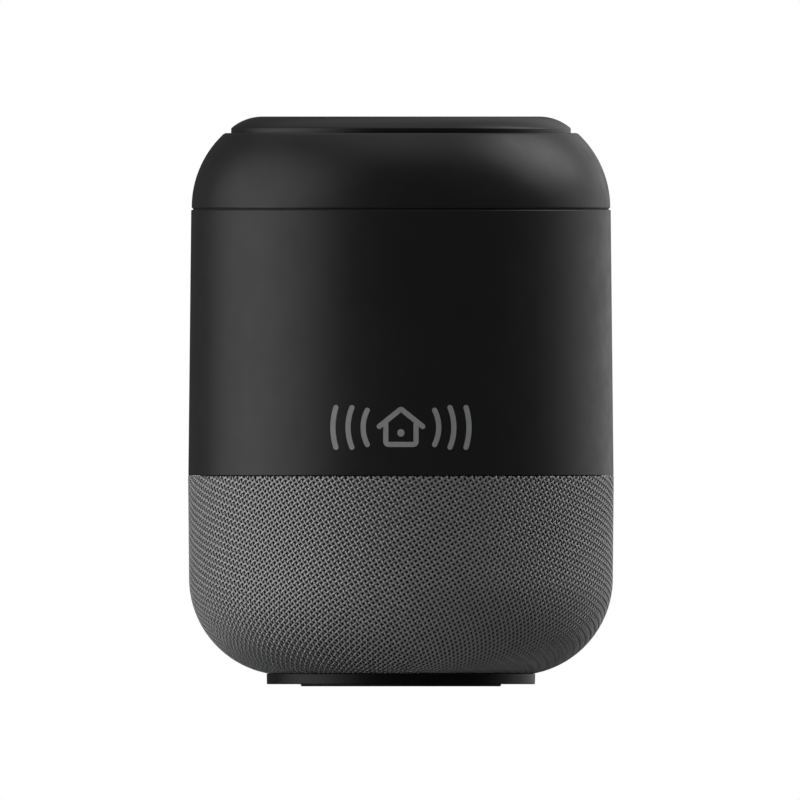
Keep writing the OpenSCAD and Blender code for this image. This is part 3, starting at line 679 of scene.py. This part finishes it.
def make_sleeve():
    """Tapered tube with rounded lips at both ends and a pill-shaped, round-edged window at the rear."""
    lip = 0.22
    edge = 0.5
    rear = SLEEVE_COLUMNS // 4
    rect_low = PORT_Z - WINDOW_HALF_RECT
    rect_top = PORT_Z + WINDOW_HALF_RECT
    rect_rows = [rect_low + 2 * WINDOW_HALF_RECT * i / WINDOW_ROWS for i in range(WINDOW_ROWS + 1)]
    low_rows = [SLEEVE_FOOT_Z + lip + (rect_low - SLEEVE_FOOT_Z - lip) * i / 3 for i in range(3)]
    top_rows = [rect_top + (SEAM_Z - lip - rect_top) * i / 16 for i in range(1, 17)]
    rows = low_rows + rect_rows + top_rows
    window_first = len(low_rows)
    window_last = window_first + WINDOW_ROWS
    # The outline goes up the outer face, over the top lip, down the inner face and under the foot
    outer = [(z, 0.0) for z in rows]
    lips = [(lip * sin(a), lip * (1 - cos(a))) for a in quarter_turn(4)]
    top = [(SEAM_Z - lip + rise, depth) for rise, depth in lips]
    foot = [(SLEEVE_FOOT_Z + lip - rise, depth) for rise, depth in reversed(lips)]
    inner = [(z, SLEEVE_WALL) for z in reversed(rows)]
    outline = outer + top + [(SEAM_Z, SLEEVE_WALL)] + inner + [(SLEEVE_FOOT_Z, SLEEVE_WALL)] + foot
    points = []
    for z, depth in outline:
        points += [(x, y, z) for x, y in circle(0, 0, sleeve_radius(z) - depth, SLEEVE_COLUMNS)]

    def index(row, column):
        return (row % len(outline)) * SLEEVE_COLUMNS + column % SLEEVE_COLUMNS

    inner_start = len(outer) + len(top) + 1
    inner_rows = [inner_start + len(rows) - 1 - i for i in range(len(rows))]

    def in_window(row, column):
        if abs(column + 0.5 - rear) > WINDOW_COLUMNS:
            return False
        if window_first <= row < window_last:
            return True
        return inner_rows[window_last] <= row < inner_rows[window_first]

    faces = []
    for row in range(len(outline)):
        for column in range(SLEEVE_COLUMNS):
            if not in_window(row, column):
                faces.append([index(row, column), index(row, column + 1),
                              index(row + 1, column + 1), index(row + 1, column)])

    def rectangle(rows_of):
        """Vertex numbers round the window's rectangle, anticlockwise seen from inside the body."""
        left, right = rear - WINDOW_COLUMNS, rear + WINDOW_COLUMNS
        loop = [(rows_of[window_first], c) for c in range(left, right)]
        loop += [(rows_of[r], right) for r in range(window_first, window_last)]
        loop += [(rows_of[window_last], c) for c in range(right, left, -1)]
        loop += [(rows_of[r], left) for r in range(window_last, window_first, -1)]
        return [index(r, c) for r, c in loop]

    def ring_at(rectangle_ring, share, spread, depth):
        """A ring of points a share of the way from the rectangle to the pill widened by spread."""
        first = len(points)
        for number in rectangle_ring:
            x, _, z = points[number]
            px, pz = pill_point(x, z - PORT_Z, WINDOW_HALF_L + spread, WINDOW_HALF_H + spread)
            points.append(sleeve_point(x + (px - x) * share, z + (pz + PORT_Z - z) * share, depth))
        return list(range(first, len(points)))

    outer_ring = rectangle(list(range(len(rows))))
    inner_ring = rectangle(inner_rows)
    chain = [outer_ring]
    chain += [ring_at(outer_ring, share, edge, 0) for share in (0.35, 0.7, 1)]
    chain += [ring_at(outer_ring, 1, edge * (1 - sin(a)), edge * (1 - cos(a))) for a in quarter_turn(5)]
    chain.append(ring_at(outer_ring, 1, 0, SLEEVE_WALL / 2))
    chain.append(ring_at(outer_ring, 1, 0, SLEEVE_WALL))
    chain.append(ring_at(inner_ring, 0.5, 0, SLEEVE_WALL))
    chain.append(inner_ring)
    for ring, after in zip(chain, chain[1:]):
        faces += bridge(ring, after)
    sleeve = new_object("body_shell", (points, faces))
    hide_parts("body_sleeve")
    dress(sleeve, HOUSING, "body_plastic")


def make_sleeve_spigots():
    """The thinner rings and screw bosses inside the sleeve that locate the parts above and below it."""
    low_z = sleeve_low.z
    lower_r = BODY_R - 2.5
    lower_bore = 40.2
    groove_r = SLEEVE_TOP_R - SEAM_GROOVE
    groove_z = SEAM_Z + SEAM_GAP + 0.02
    upper_r = SLEEVE_TOP_R - 2.4
    upper_bore = 40
    upper = rounded([(upper_bore, SEAM_Z - 2), (groove_r, SEAM_Z - 2), (groove_r, groove_z),
                     (upper_r, groove_z), (upper_r, sleeve_high.z, 0.3), (upper_bore, sleeve_high.z, 0.3)])
    lower = rounded([(lower_bore, low_z, 0.3), (lower_r, low_z, 0.3),
                     (lower_r, SLEEVE_FOOT_Z + 1), (lower_bore, SLEEVE_FOOT_Z + 1)])
    low_boss_h = 9
    high_boss_z, high_boss_top = 88.5, 93
    bosses = four_round(tube(1.1, 2.6, low_z, low_z + low_boss_h), BASKET_SCREW_RING_R)
    bosses += four_round(tube(1.3, 3.0, high_boss_z, high_boss_top), SHOULDER_SCREW_RING_R)
    rings = new_object("body_shell_spigots", joined(lathe(upper, 128), lathe(lower, 128), *bosses))
    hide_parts("body_sleeve")
    dress(rings, HOUSING, "body_plastic", SEAM_BLACK)


# ---------- Shoulder ----------

def make_shoulder():
    """Domed ring with a ledge and a recess for the control disc, on two sets of four pillars."""
    low = SEAM_Z + SEAM_GAP
    recess_r = PANEL_R + 0.15
    deck_low = DECK_Z - 2
    outer_r = SHOULDER_ARC_X + SHOULDER_ARC_R
    wall = 2.0
    inner_arc = SHOULDER_ARC_R - wall

    def angle_at(z, radius):
        return degrees(asin((z - SHOULDER_ARC_Z) / radius))

    start, end = angle_at(low + 0.25, SHOULDER_ARC_R), angle_at(LEDGE_Z - 0.2, SHOULDER_ARC_R)
    ledge_r = SHOULDER_ARC_X + sqrt(SHOULDER_ARC_R ** 2 - (LEDGE_Z - SHOULDER_ARC_Z) ** 2)
    profile = [(outer_r - 0.08, low + 0.1)]
    profile += arc(SHOULDER_ARC_X, SHOULDER_ARC_Z, SHOULDER_ARC_R, start, end, 56)
    profile += [(ledge_r - 0.02, LEDGE_Z - 0.1), (ledge_r - 0.15, LEDGE_Z - 0.02), (ledge_r - 0.35, LEDGE_Z)]
    profile += [(recess_r + 0.25, LEDGE_Z), (recess_r + 0.07, LEDGE_Z - 0.07), (recess_r, LEDGE_Z - 0.25)]
    profile += [(recess_r, DECK_Z), (3, DECK_Z), (3, deck_low)]
    profile += arc(SHOULDER_ARC_X, SHOULDER_ARC_Z, inner_arc, angle_at(deck_low, inner_arc), 8, 24)
    profile += [(outer_r - wall - 0.1, low), (outer_r - 0.25, low)]
    ring = new_object("shoulder_shell", lathe(profile))
    stem_hole_r = 2.2
    cut(ring, *[prism(circle(*key_place(key)[:2], stem_hole_r), deck_low - 1, DECK_Z + 1) for key in KEYS])
    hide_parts("shoulder_ring")
    dress(ring, HOUSING, "body_plastic")
    board_z = 110.2
    pillar_top = deck_low + 0.2
    posts = four_round(tube(1.35, 3.0, shoulder_low.z, pillar_top), SHOULDER_SCREW_RING_R)
    posts += four_round(tube(0.95, 2.2, board_z, pillar_top), BOARD_SCREW_RING_R)
    pillars = new_object("shoulder_pillars", joined(*posts))
    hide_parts("shoulder_ring")
    dress(pillars, HOUSING, "body_plastic", MATERIALS["inner_plastic"])


# ---------- Control disc, keys and lamp ----------

KEYS = ("play", "volume_up", "volume_down", "mic_mute")
KEY_LIP = 1.2
KEY_GAP = 0.25
LAMP_HOLE_R = 1.3
MIC_HOLE_R = 0.6
MIC_RING_R = 23.0
MIC_ANGLES = (25, 155, 205, 335)
LAMP_Y = sum(corner.y for corner in span("status_light_pipe")) / 2


def key_place(key):
    """Centre and visible radius of a key."""
    low, high = span(f"{key}_button")
    return (low.x + high.x) / 2, (low.y + high.y) / 2, (high.x - low.x) / 2 - KEY_LIP


def make_control_disc():
    """Raised disc with a rounded edge, holes for four keys, four microphones and the lamp."""
    inner_z = PANEL_TOP_Z - PANEL_WALL
    edge_z = PANEL_TOP_Z - PANEL_EDGE_R
    last = degrees(acos((PANEL_R - 0.12 - PANEL_FLAT_R) / PANEL_EDGE_R))
    rim_z = edge_z + PANEL_EDGE_R * sin(radians(last))
    skirt_r = PANEL_R - 1.75
    profile = [(PANEL_FLAT_R - 0.8, PANEL_TOP_Z)]
    profile += arc(PANEL_FLAT_R, edge_z, PANEL_EDGE_R, 90, last, 20)
    profile += [(PANEL_R - 0.03, rim_z - 0.12), (PANEL_R, rim_z - 0.3)]
    profile += [(PANEL_R, DECK_Z + 0.1), (skirt_r, DECK_Z + 0.1), (skirt_r, inner_z - 1.2)]
    profile += [(PANEL_R - 3, inner_z), (PANEL_FLAT_R - 0.8, inner_z)]
    points, faces = lathe(profile)
    # The flat of the disc is one face above and one below, so that the holes cut clean rims
    faces = faces[:-SEGMENTS]
    faces += [list(range(SEGMENTS)), list(range(len(points) - SEGMENTS, len(points)))[::-1]]
    disc = new_object("control_disc", (points, faces))

    def hole(x, y, radius, steps):
        return prism(circle(x, y, radius, steps), inner_z - 1, PANEL_TOP_Z + 1)

    holes = [hole(x, y, r + KEY_GAP, 96) for x, y, r in map(key_place, KEYS)]
    turns = [radians(angle) for angle in MIC_ANGLES]
    holes += [hole(MIC_RING_R * cos(a), MIC_RING_R * sin(a), MIC_HOLE_R, 24) for a in turns]
    cut(disc, *holes, hole(0, LAMP_Y, LAMP_HOLE_R, 32))
    soften(disc, 0.18)
    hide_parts("control_panel")
    dress(disc, HOUSING, "panel_plastic")


def make_key(key):
    """Round key with a dished top, a retaining lip below the disc and a stem to its switch."""
    low, high = span(f"{key}_button")
    x, y, r = key_place(key)
    dish = 0.12 if r > 7 else 0.08
    dish_r = r * 0.93
    lip_r = r + KEY_LIP
    lip_top = PANEL_TOP_Z - PANEL_WALL - KEY_GAP
    lip_low = lip_top - 0.75
    stem_r = 1.8
    top = [(dish_r * i / 10, high.z - dish * cos(pi / 2 * i / 10)) for i in range(10)]
    rim = rounded([(dish_r, high.z), (r, high.z, 0.3), (r, lip_top, 0.05), (lip_r, lip_top, 0.15),
                   (lip_r, lip_low, 0.15), (stem_r, lip_low), (stem_r, low.z, 0.3), (0, low.z)], closed=False)
    button = new_object(f"{key}_key", moved(lathe(top + rim, 128), x, y))
    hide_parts(f"{key}_button")
    dress(button, key, "panel_plastic", sharp=50)


def make_lamp():
    """Domed end of the light pipe, flush with the disc."""
    low, high = span("status_light_pipe")
    r, lip_r = 1.2, 2
    profile = rounded([(0, high.z), (r, high.z, 0.25), (r, DECK_Z + 1), (lip_r, DECK_Z + 1, 0.2),
                       (lip_r, DECK_Z, 0.2), (r, DECK_Z), (r, low.z, 0.1), (0, low.z)], closed=False)
    lamp = new_object("status_lamp", moved(lathe(profile, 64), 0, LAMP_Y))
    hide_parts("status_light_pipe")
    dress(lamp, HOUSING, "lamp")


# ---------- Printed marks ----------

def resample(path, step=0.35):
    """The same line with points no further than step apart."""
    out = [path[0]]
    for (ax, ay), (bx, by) in zip(path, path[1:]):
        count = max(1, int(np.ceil(hypot(bx - ax, by - ay) / step)))
        out += [(ax + (bx - ax) * i / count, ay + (by - ay) * i / count) for i in range(1, count + 1)]
    return out


def stroke(path, width, closed=False):
    """A flat band along a line, as pairs of points at its left and right, with round ends if it is open."""
    half = width / 2
    line = resample(path + [path[0]] if closed else path)
    pairs = []
    count = len(line)
    for i, (x, y) in enumerate(line):
        before = line[i - 1] if i > 0 else (line[-2] if closed else line[0])
        after = line[i + 1] if i < count - 1 else (line[1] if closed else line[-1])
        dx, dy = after[0] - before[0], after[1] - before[1]
        size = hypot(dx, dy)
        nx, ny = -dy / size, dx / size
        pairs.append(((x + nx * half, y + ny * half), (x - nx * half, y - ny * half)))
    if closed:
        return pairs
    start = [(left, right) for right, left in round_end(line[1], line[0], half)[::-1]]
    return start + pairs + round_end(line[-2], line[-1], half)


def round_end(inside, tip, half, steps=5):
    """Pairs that close a band with a half circle past its tip."""
    size = hypot(tip[0] - inside[0], tip[1] - inside[1])
    dx, dy = (tip[0] - inside[0]) / size, (tip[1] - inside[1]) / size
    pairs = []
    for i in range(1, steps + 1):
        a = pi / 2 * i / (steps + 0.3)
        mx, my = tip[0] + dx * half * sin(a), tip[1] + dy * half * sin(a)
        wide = half * cos(a)
        left, right = (mx - dy * wide, my + dx * wide), (mx + dy * wide, my - dx * wide)
        pairs.append((left, right))
    return pairs


def band_shape(pairs, place, thick):
    """A solid band: place(x, y, lift) puts a flat point on the surface."""
    points = []
    for left, right in pairs:
        points += [place(*left, thick), place(*right, thick), place(*left, -thick), place(*right, -thick)]
    end = 4 * (len(pairs) - 1)
    faces = [[0, 2, 3, 1], [end, end + 1, end + 3, end + 2]]
    for a in range(0, end, 4):
        b = a + 4
        faces += [[a, a + 1, b + 1, b], [a + 2, b + 2, b + 3, a + 3],
                  [a, b, b + 2, a + 2], [a + 1, a + 3, b + 3, b + 1]]
    return points, faces


def printed(name, bands, place, body, ink, thick=0.02):
    """Pad-printed marks made of bands."""
    marks = new_object(name, joined(*[band_shape(pairs, place, thick) for pairs in bands]))
    dress(marks, body, "panel_plastic", ink)


def make_front_mark():
    """A house between radio arcs, a generic sign of a connected home."""
    centre_z = 54.8
    weight = 1.1

    def place(x, y, lift):
        r = sleeve_radius(y + centre_z) + lift
        return x, -sqrt(r * r - x * x), y + centre_z

    roof = rounded([(-4.6, 0.2), (0, 3.9, 0.4), (4.6, 0.2)], closed=False)
    walls = rounded([(-3.2, 0.7), (-3.2, -3.6, 0.6), (3.2, -3.6, 0.6), (3.2, 0.7)], closed=False)
    bands = [stroke(roof, weight), stroke(walls, weight), stroke([(0, -1.2), (0, -1.1)], 1.5)]
    for radius, spread in ((8.0, 27), (11.2, 22), (14.4, 17)):
        for facing in (0, 180):
            bands.append(stroke(arc(0, 0, radius, facing - spread, facing + spread, 24), weight))
    printed("front_mark", bands, place, HOUSING, MARK_INK)


def make_key_icons():
    """Printed signs on the four keys."""
    weight = 0.55
    thin = 0.36

    def icon(key, bands, thick=0.06):
        x0, y0 = key_place(key)[:2]
        top = span(f"{key}_button")[1].z - 0.05
        printed(f"{key}_icon", bands, lambda x, y, lift: (x0 + x, y0 + y, top + lift), key, ICON_INK, thick)

    bars = [stroke([(0.9, -1.7), (0.9, 1.7)], 0.7), stroke([(2.3, -1.7), (2.3, 1.7)], 0.7)]
    triangle = rounded([(-2.9, -1.7, 0.2), (-0.4, 0, 0.2), (-2.9, 1.7, 0.2)])
    icon("play", bars + [stroke(triangle, weight, closed=True)], 0.1)
    level = stroke([(-1.6, 0), (1.6, 0)], weight)
    upright = stroke([(0, -1.6), (0, 1.6)], weight)
    icon("volume_up", [level, upright])
    icon("volume_down", [level])
    microphone = stroke([(0, -0.1), (0, 1.3)], 1.3)
    cradle = stroke(arc(0, -0.1, 1.5, 190, 350, 20), thin)
    stand = stroke([(0, -1.6), (0, -2.3)], thin)
    slash = [stroke([(-2.3, 2.3), (-1.1, 1.1)], thin), stroke([(1.45, -1.45), (2.3, -2.3)], thin)]
    icon("mic_mute", [microphone, cradle, stand] + slash)


# ---------- Rear ports ----------

USB_HALF_W, USB_HALF_H = 4.47, 1.63
JACK_X = 8.2
SWITCH_X = -15.0
PAIRING_X = 16.0
BEZEL_R = BODY_R - 0.4


def bend_round(obj, radius):
    """Wraps a mesh made flat against the y = radius plane round the Z axis."""
    for vertex in obj.data.vertices:
        x = vertex.co.x / MM
        vertex.co.y -= (radius - sqrt(radius * radius - x * x)) * MM


def slice_along_x(obj, half_length, step=1.0):
    """Adds edges across the mesh, so that it can bend."""
    work = bmesh.new()
    work.from_mesh(obj.data)
    x = -half_length + step
    while x < half_length:
        everything = work.verts[:] + work.edges[:] + work.faces[:]
        bmesh.ops.bisect_plane(work, geom=everything, plane_co=(x * MM, 0, 0), plane_no=(1, 0, 0), dist=1e-7)
        x += step
    work.to_mesh(obj.data)
    work.free()


def make_port_plate():
    """Pill-shaped plate behind the window, with openings for the socket, the jack, the switch and the key."""
    half_l, half_h = 19.8, 6.3
    back = BEZEL_R - 2.6
    gap = 0.15
    jack_hole_r = 2.95
    pairing_hole_r = 2.2
    plate = new_object("port_plate", prism(pill(0, PORT_Z, half_l, half_h, 24), back, BEZEL_R, axis="y"))
    openings = [pill(0, PORT_Z, USB_HALF_W + gap, USB_HALF_H + gap),
                circle(JACK_X, PORT_Z, jack_hole_r),
                circle(PAIRING_X, PORT_Z, pairing_hole_r),
                rounded_box(SWITCH_X, PORT_Z, 2.5, 1.9, 0.5)]
    cut(plate, *[prism(outline, back - 1, BEZEL_R + 1, axis="y") for outline in openings])
    soften(plate, 0.2)
    slice_along_x(plate, half_l)
    bend_round(plate, BEZEL_R)
    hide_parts("port_bezel")
    dress(plate, HOUSING, "panel_plastic")


def y_shell(outer, inner, front, back, floor):
    """A tube along Y between two outlines of as many points, open in front and closed at its floor."""
    count = len(outer)
    points = [(x, back, z) for x, z in outer] + [(x, front, z) for x, z in outer]
    points += [(x, front, z) for x, z in inner] + [(x, floor, z) for x, z in inner]
    rings = [list(range(level * count, (level + 1) * count)) for level in range(4)]
    faces = [rings[0], rings[3]]
    for ring, after in zip(rings, rings[1:]):
        faces += bridge(ring, after)
    return points, faces


def make_usb_socket():
    """Steel shell with a rolled lip round a tongue that has a row of contacts on both sides."""
    low, high = span("usb_c_socket")
    outer = pill(0, PORT_Z, USB_HALF_W, USB_HALF_H, 20)
    inner = pill(0, PORT_Z, USB_HALF_W - 0.3, USB_HALF_H - 0.3, 20)
    shell = new_object("usb_shell", y_shell(outer, inner, high.y, low.y, low.y + 2))
    soften(shell, 0.1)
    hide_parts("usb_c_socket")
    dress(shell, HOUSING, "plate_steel")
    front = high.y - 0.8
    half_thick = 0.35
    block = rounded_box(0, PORT_Z, 3.35, half_thick, 0.15)
    tongue = new_object("usb_tongue", prism(block, low.y + 1.9, front, axis="y"))
    soften(tongue, 0.1, 2)
    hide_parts("usb_c_socket")
    dress(tongue, HOUSING, "connector", MATERIALS["chip"])
    pad = prism([(-0.12, -0.02), (0.12, -0.02), (0.12, 0.02), (-0.12, 0.02)],
                front - 5, front - 0.5, axis="y")
    rows = [PORT_Z - half_thick - 0.01, PORT_Z + half_thick + 0.01]
    pads = [moved(pad, 0.5 * i - 2.75, 0, z) for i in range(12) for z in rows]
    contacts = new_object("usb_contacts", joined(*pads))
    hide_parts("usb_c_socket")
    dress(contacts, HOUSING, "copper")


def turned_y(profile, x, segments=64):
    """A closed (r, y) outline turned round the Y axis through (x, PORT_Z)."""
    points, faces = lathe(profile, segments)
    return [(x + px, depth, PORT_Z + pz) for px, pz, depth in points], faces


def make_jack():
    """Audio jack: a plastic nose with a steel ferrule and a deep bore."""
    low, high = span("aux_jack")
    bore = 1.8
    ferrule_r = bore + 0.5
    floor = low.y + 1.2
    nose = new_object("audio_jack_nose", turned_y(rounded([
        (0, low.y + 1), (2.8, low.y + 1), (2.8, high.y, 0.3), (ferrule_r, high.y, 0.1),
        (ferrule_r, floor), (0, floor)], closed=False), JACK_X))
    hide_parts("aux_jack")
    dress(nose, HOUSING, "inner_plastic")
    ferrule = new_object("audio_jack_ferrule", turned_y(rounded([
        (bore, floor), (ferrule_r, floor),
        (ferrule_r, high.y + 0.1, 0.12), (bore, high.y + 0.1, 0.15)]), JACK_X))
    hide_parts("aux_jack")
    dress(ferrule, HOUSING, "plate_steel")


def make_switch_knob():
    """Slide knob with four grip ribs, on a wider slide behind the plate."""
    low, high = span("power_switch_knob")
    x = (low.x + high.x) / 2
    grip = prism(rounded_box(x, PORT_Z, 1.2, 1.6, 0.3, 4), low.y + 0.7, high.y - 0.25, axis="y")
    slide = prism([(x - 2, PORT_Z - 2), (x + 2, PORT_Z - 2), (x + 2, PORT_Z + 2), (x - 2, PORT_Z + 2)],
                  low.y, low.y + 0.8, axis="y")
    rib = prism(rounded_box(x, PORT_Z, 0.16, 1.35, 0.12), high.y - 0.4, high.y, axis="y")
    ribs = [moved(rib, 0.52 * i - 0.78) for i in range(4)]
    knob = new_object("switch_slider", joined(grip, slide, *ribs))
    soften(knob, 0.06, 2)
    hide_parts("power_switch_knob")
    dress(knob, "switch_knob", "panel_plastic")


def make_pairing_key():
    """Small round key at the rear, slightly dished."""
    low, high = span("pairing_button")
    dish_r, r, lip_r = 1.7, 2, 2.7
    top = [(dish_r * i / 6, high.y - 0.1 * cos(pi / 2 * i / 6)) for i in range(6)]
    rim = rounded([(dish_r, high.y), (r, high.y, 0.2), (r, low.y + 0.8), (lip_r, low.y + 0.8, 0.1),
                   (lip_r, low.y, 0.1), (0, low.y)], closed=False)
    key = new_object("pairing_key", turned_y(top + rim, PAIRING_X))
    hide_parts("pairing_button")
    dress(key, "pairing", "panel_plastic", sharp=50)


# ---------- Stage, light and camera ----------

def make_stage():
    """A pale table top that lets light through from below. It isn't mirrored in the body."""
    size = 6000.0
    corners = [(-size, -size), (size, -size), (size, size), (-size, size)]
    floor = new_object("floor", ([(x, y, -0.3) for x, y in corners], [[0, 1, 2, 3]]))
    made = Nodes("floor", (0.92, 0.92, 0.92), 0.9)
    made.vary_roughness(made.noise(0.01), 0.85, 0.95)
    clear = made.node("ShaderNodeBsdfTransparent")
    below = made.node("ShaderNodeNewGeometry")
    mix = made.node("ShaderNodeMixShader")
    made.link(below.outputs["Backfacing"], mix.inputs[0])
    made.link(made.shader.outputs["BSDF"], mix.inputs[1])
    made.link(clear.outputs["BSDF"], mix.inputs[2])
    made.link(mix.outputs["Shader"], made.tree.nodes["Material Output"].inputs["Surface"])
    floor.data.materials.append(made.material)
    floor.visible_glossy = False
    floor.visible_shadow = False


def make_world():
    """White to the camera, dim to everything else."""
    world = bpy.data.worlds.new("studio")
    bpy.context.scene.world = world
    world.use_nodes = True
    tree = world.node_tree
    tree.nodes.clear()
    out = tree.nodes.new("ShaderNodeOutputWorld")
    mix = tree.nodes.new("ShaderNodeMixShader")
    path = tree.nodes.new("ShaderNodeLightPath")
    tree.links.new(path.outputs["Is Camera Ray"], mix.inputs["Fac"])
    for i, shade in ((1, 0.075), (2, 1)):
        backdrop = tree.nodes.new("ShaderNodeBackground")
        put(backdrop, Color=(shade, shade, shade, 1))
        tree.links.new(backdrop.outputs["Background"], mix.inputs[i])
    tree.links.new(mix.outputs["Shader"], out.inputs["Surface"])


LIGHTS_Z = 58.0


def maths(tree, operation, first, second):
    """The output of a math node. Its first input is a socket, and its second is a socket or a number."""
    made = tree.nodes.new("ShaderNodeMath")
    made.operation = operation
    tree.links.new(first, made.inputs[0])
    if isinstance(second, (int, float)):
        made.inputs[1].default_value = second
    else:
        tree.links.new(second, made.inputs[1])
    return made.outputs["Value"]


def softbox(name, azimuth, elevation, width, height, radiance, falloff=1.5):
    """A rectangular light a metre from the middle of the body, fading from its middle to its edges.

    Azimuth 0 is at the camera and 90 on its right.
    """
    a, e = radians(azimuth), radians(elevation)
    middle = Vector((0, 0, LIGHTS_Z * MM))
    outward = Vector((sin(a) * cos(e), -cos(a) * cos(e), sin(e)))
    data = bpy.data.lights.new(name, "AREA")
    data.shape = "RECTANGLE"
    data.size, data.size_y = width, height
    data.energy = radiance * width * height * pi
    data.use_nodes = True
    tree = data.node_tree
    place = tree.nodes.new("ShaderNodeNewGeometry")
    parts = tree.nodes.new("ShaderNodeSeparateXYZ")
    tree.links.new(place.outputs["Parametric"], parts.inputs["Vector"])
    fades = []
    for axis in "XY":
        swell = maths(tree, "SINE", maths(tree, "MULTIPLY", parts.outputs[axis], pi), 0)
        fades.append(maths(tree, "POWER", swell, falloff))
    tree.links.new(maths(tree, "MULTIPLY", *fades), tree.nodes["Emission"].inputs["Strength"])
    light = bpy.data.objects.new(name, data)
    light.location = middle + outward
    light.rotation_mode = "QUATERNION"
    light.rotation_quaternion = outward.to_track_quat("Z", "Y")
    light.visible_camera = False
    bpy.context.scene.collection.objects.link(light)


def make_lights():
    softbox("left_box", -79, 10, 2.45, 2.6, 1.58, 1.7)
    softbox("left_front", -60, 25, 1.2, 1.2, 0.26)
    softbox("left_low", -84, -27, 1.0, 1.4, 1.2)
    softbox("right_high", 105.5, 41, 1.0, 0.97, 3.15, 0.8)
    softbox("right_side", 110, 5, 1.2, 1.0, 0.57)
    softbox("right_back", 132, 5, 1.0, 1.0, 0.53)
    softbox("right_rim", 155, 5, 0.8, 1.0, 0.57)
    softbox("rear_right", 158, 28, 0.8, 0.8, 0.42, 1.2)
    softbox("overhead", 0, 82, 1.5, 1.5, 0.82)
    softbox("rear_fill", 195, 58, 1.4, 1.0, 0.45)


def make_camera():
    """Level camera without perspective, square on to the front."""
    data = bpy.data.cameras.new("camera")
    data.type = "ORTHO"
    data.ortho_scale = 0.1693
    camera = bpy.data.objects.new("camera", data)
    camera.location = (-0.0002, -1.2, 0.0606)
    camera.rotation_euler = (pi / 2, 0, 0)
    bpy.context.scene.collection.objects.link(camera)
    bpy.context.scene.camera = camera
    bpy.context.scene.view_settings.view_transform = "Standard"


# ---------- The object ----------

dress_cad_nodes()
make_base_disc()
make_foot()
make_cloth()
make_scrim()
make_sleeve()
make_sleeve_spigots()
make_shoulder()
make_control_disc()
for hub_key in KEYS:
    make_key(hub_key)
make_lamp()
make_front_mark()
make_key_icons()
make_port_plate()
make_usb_socket()
make_jack()
make_switch_knob()
make_pairing_key()
make_stage()
make_world()
make_lights()
make_camera()
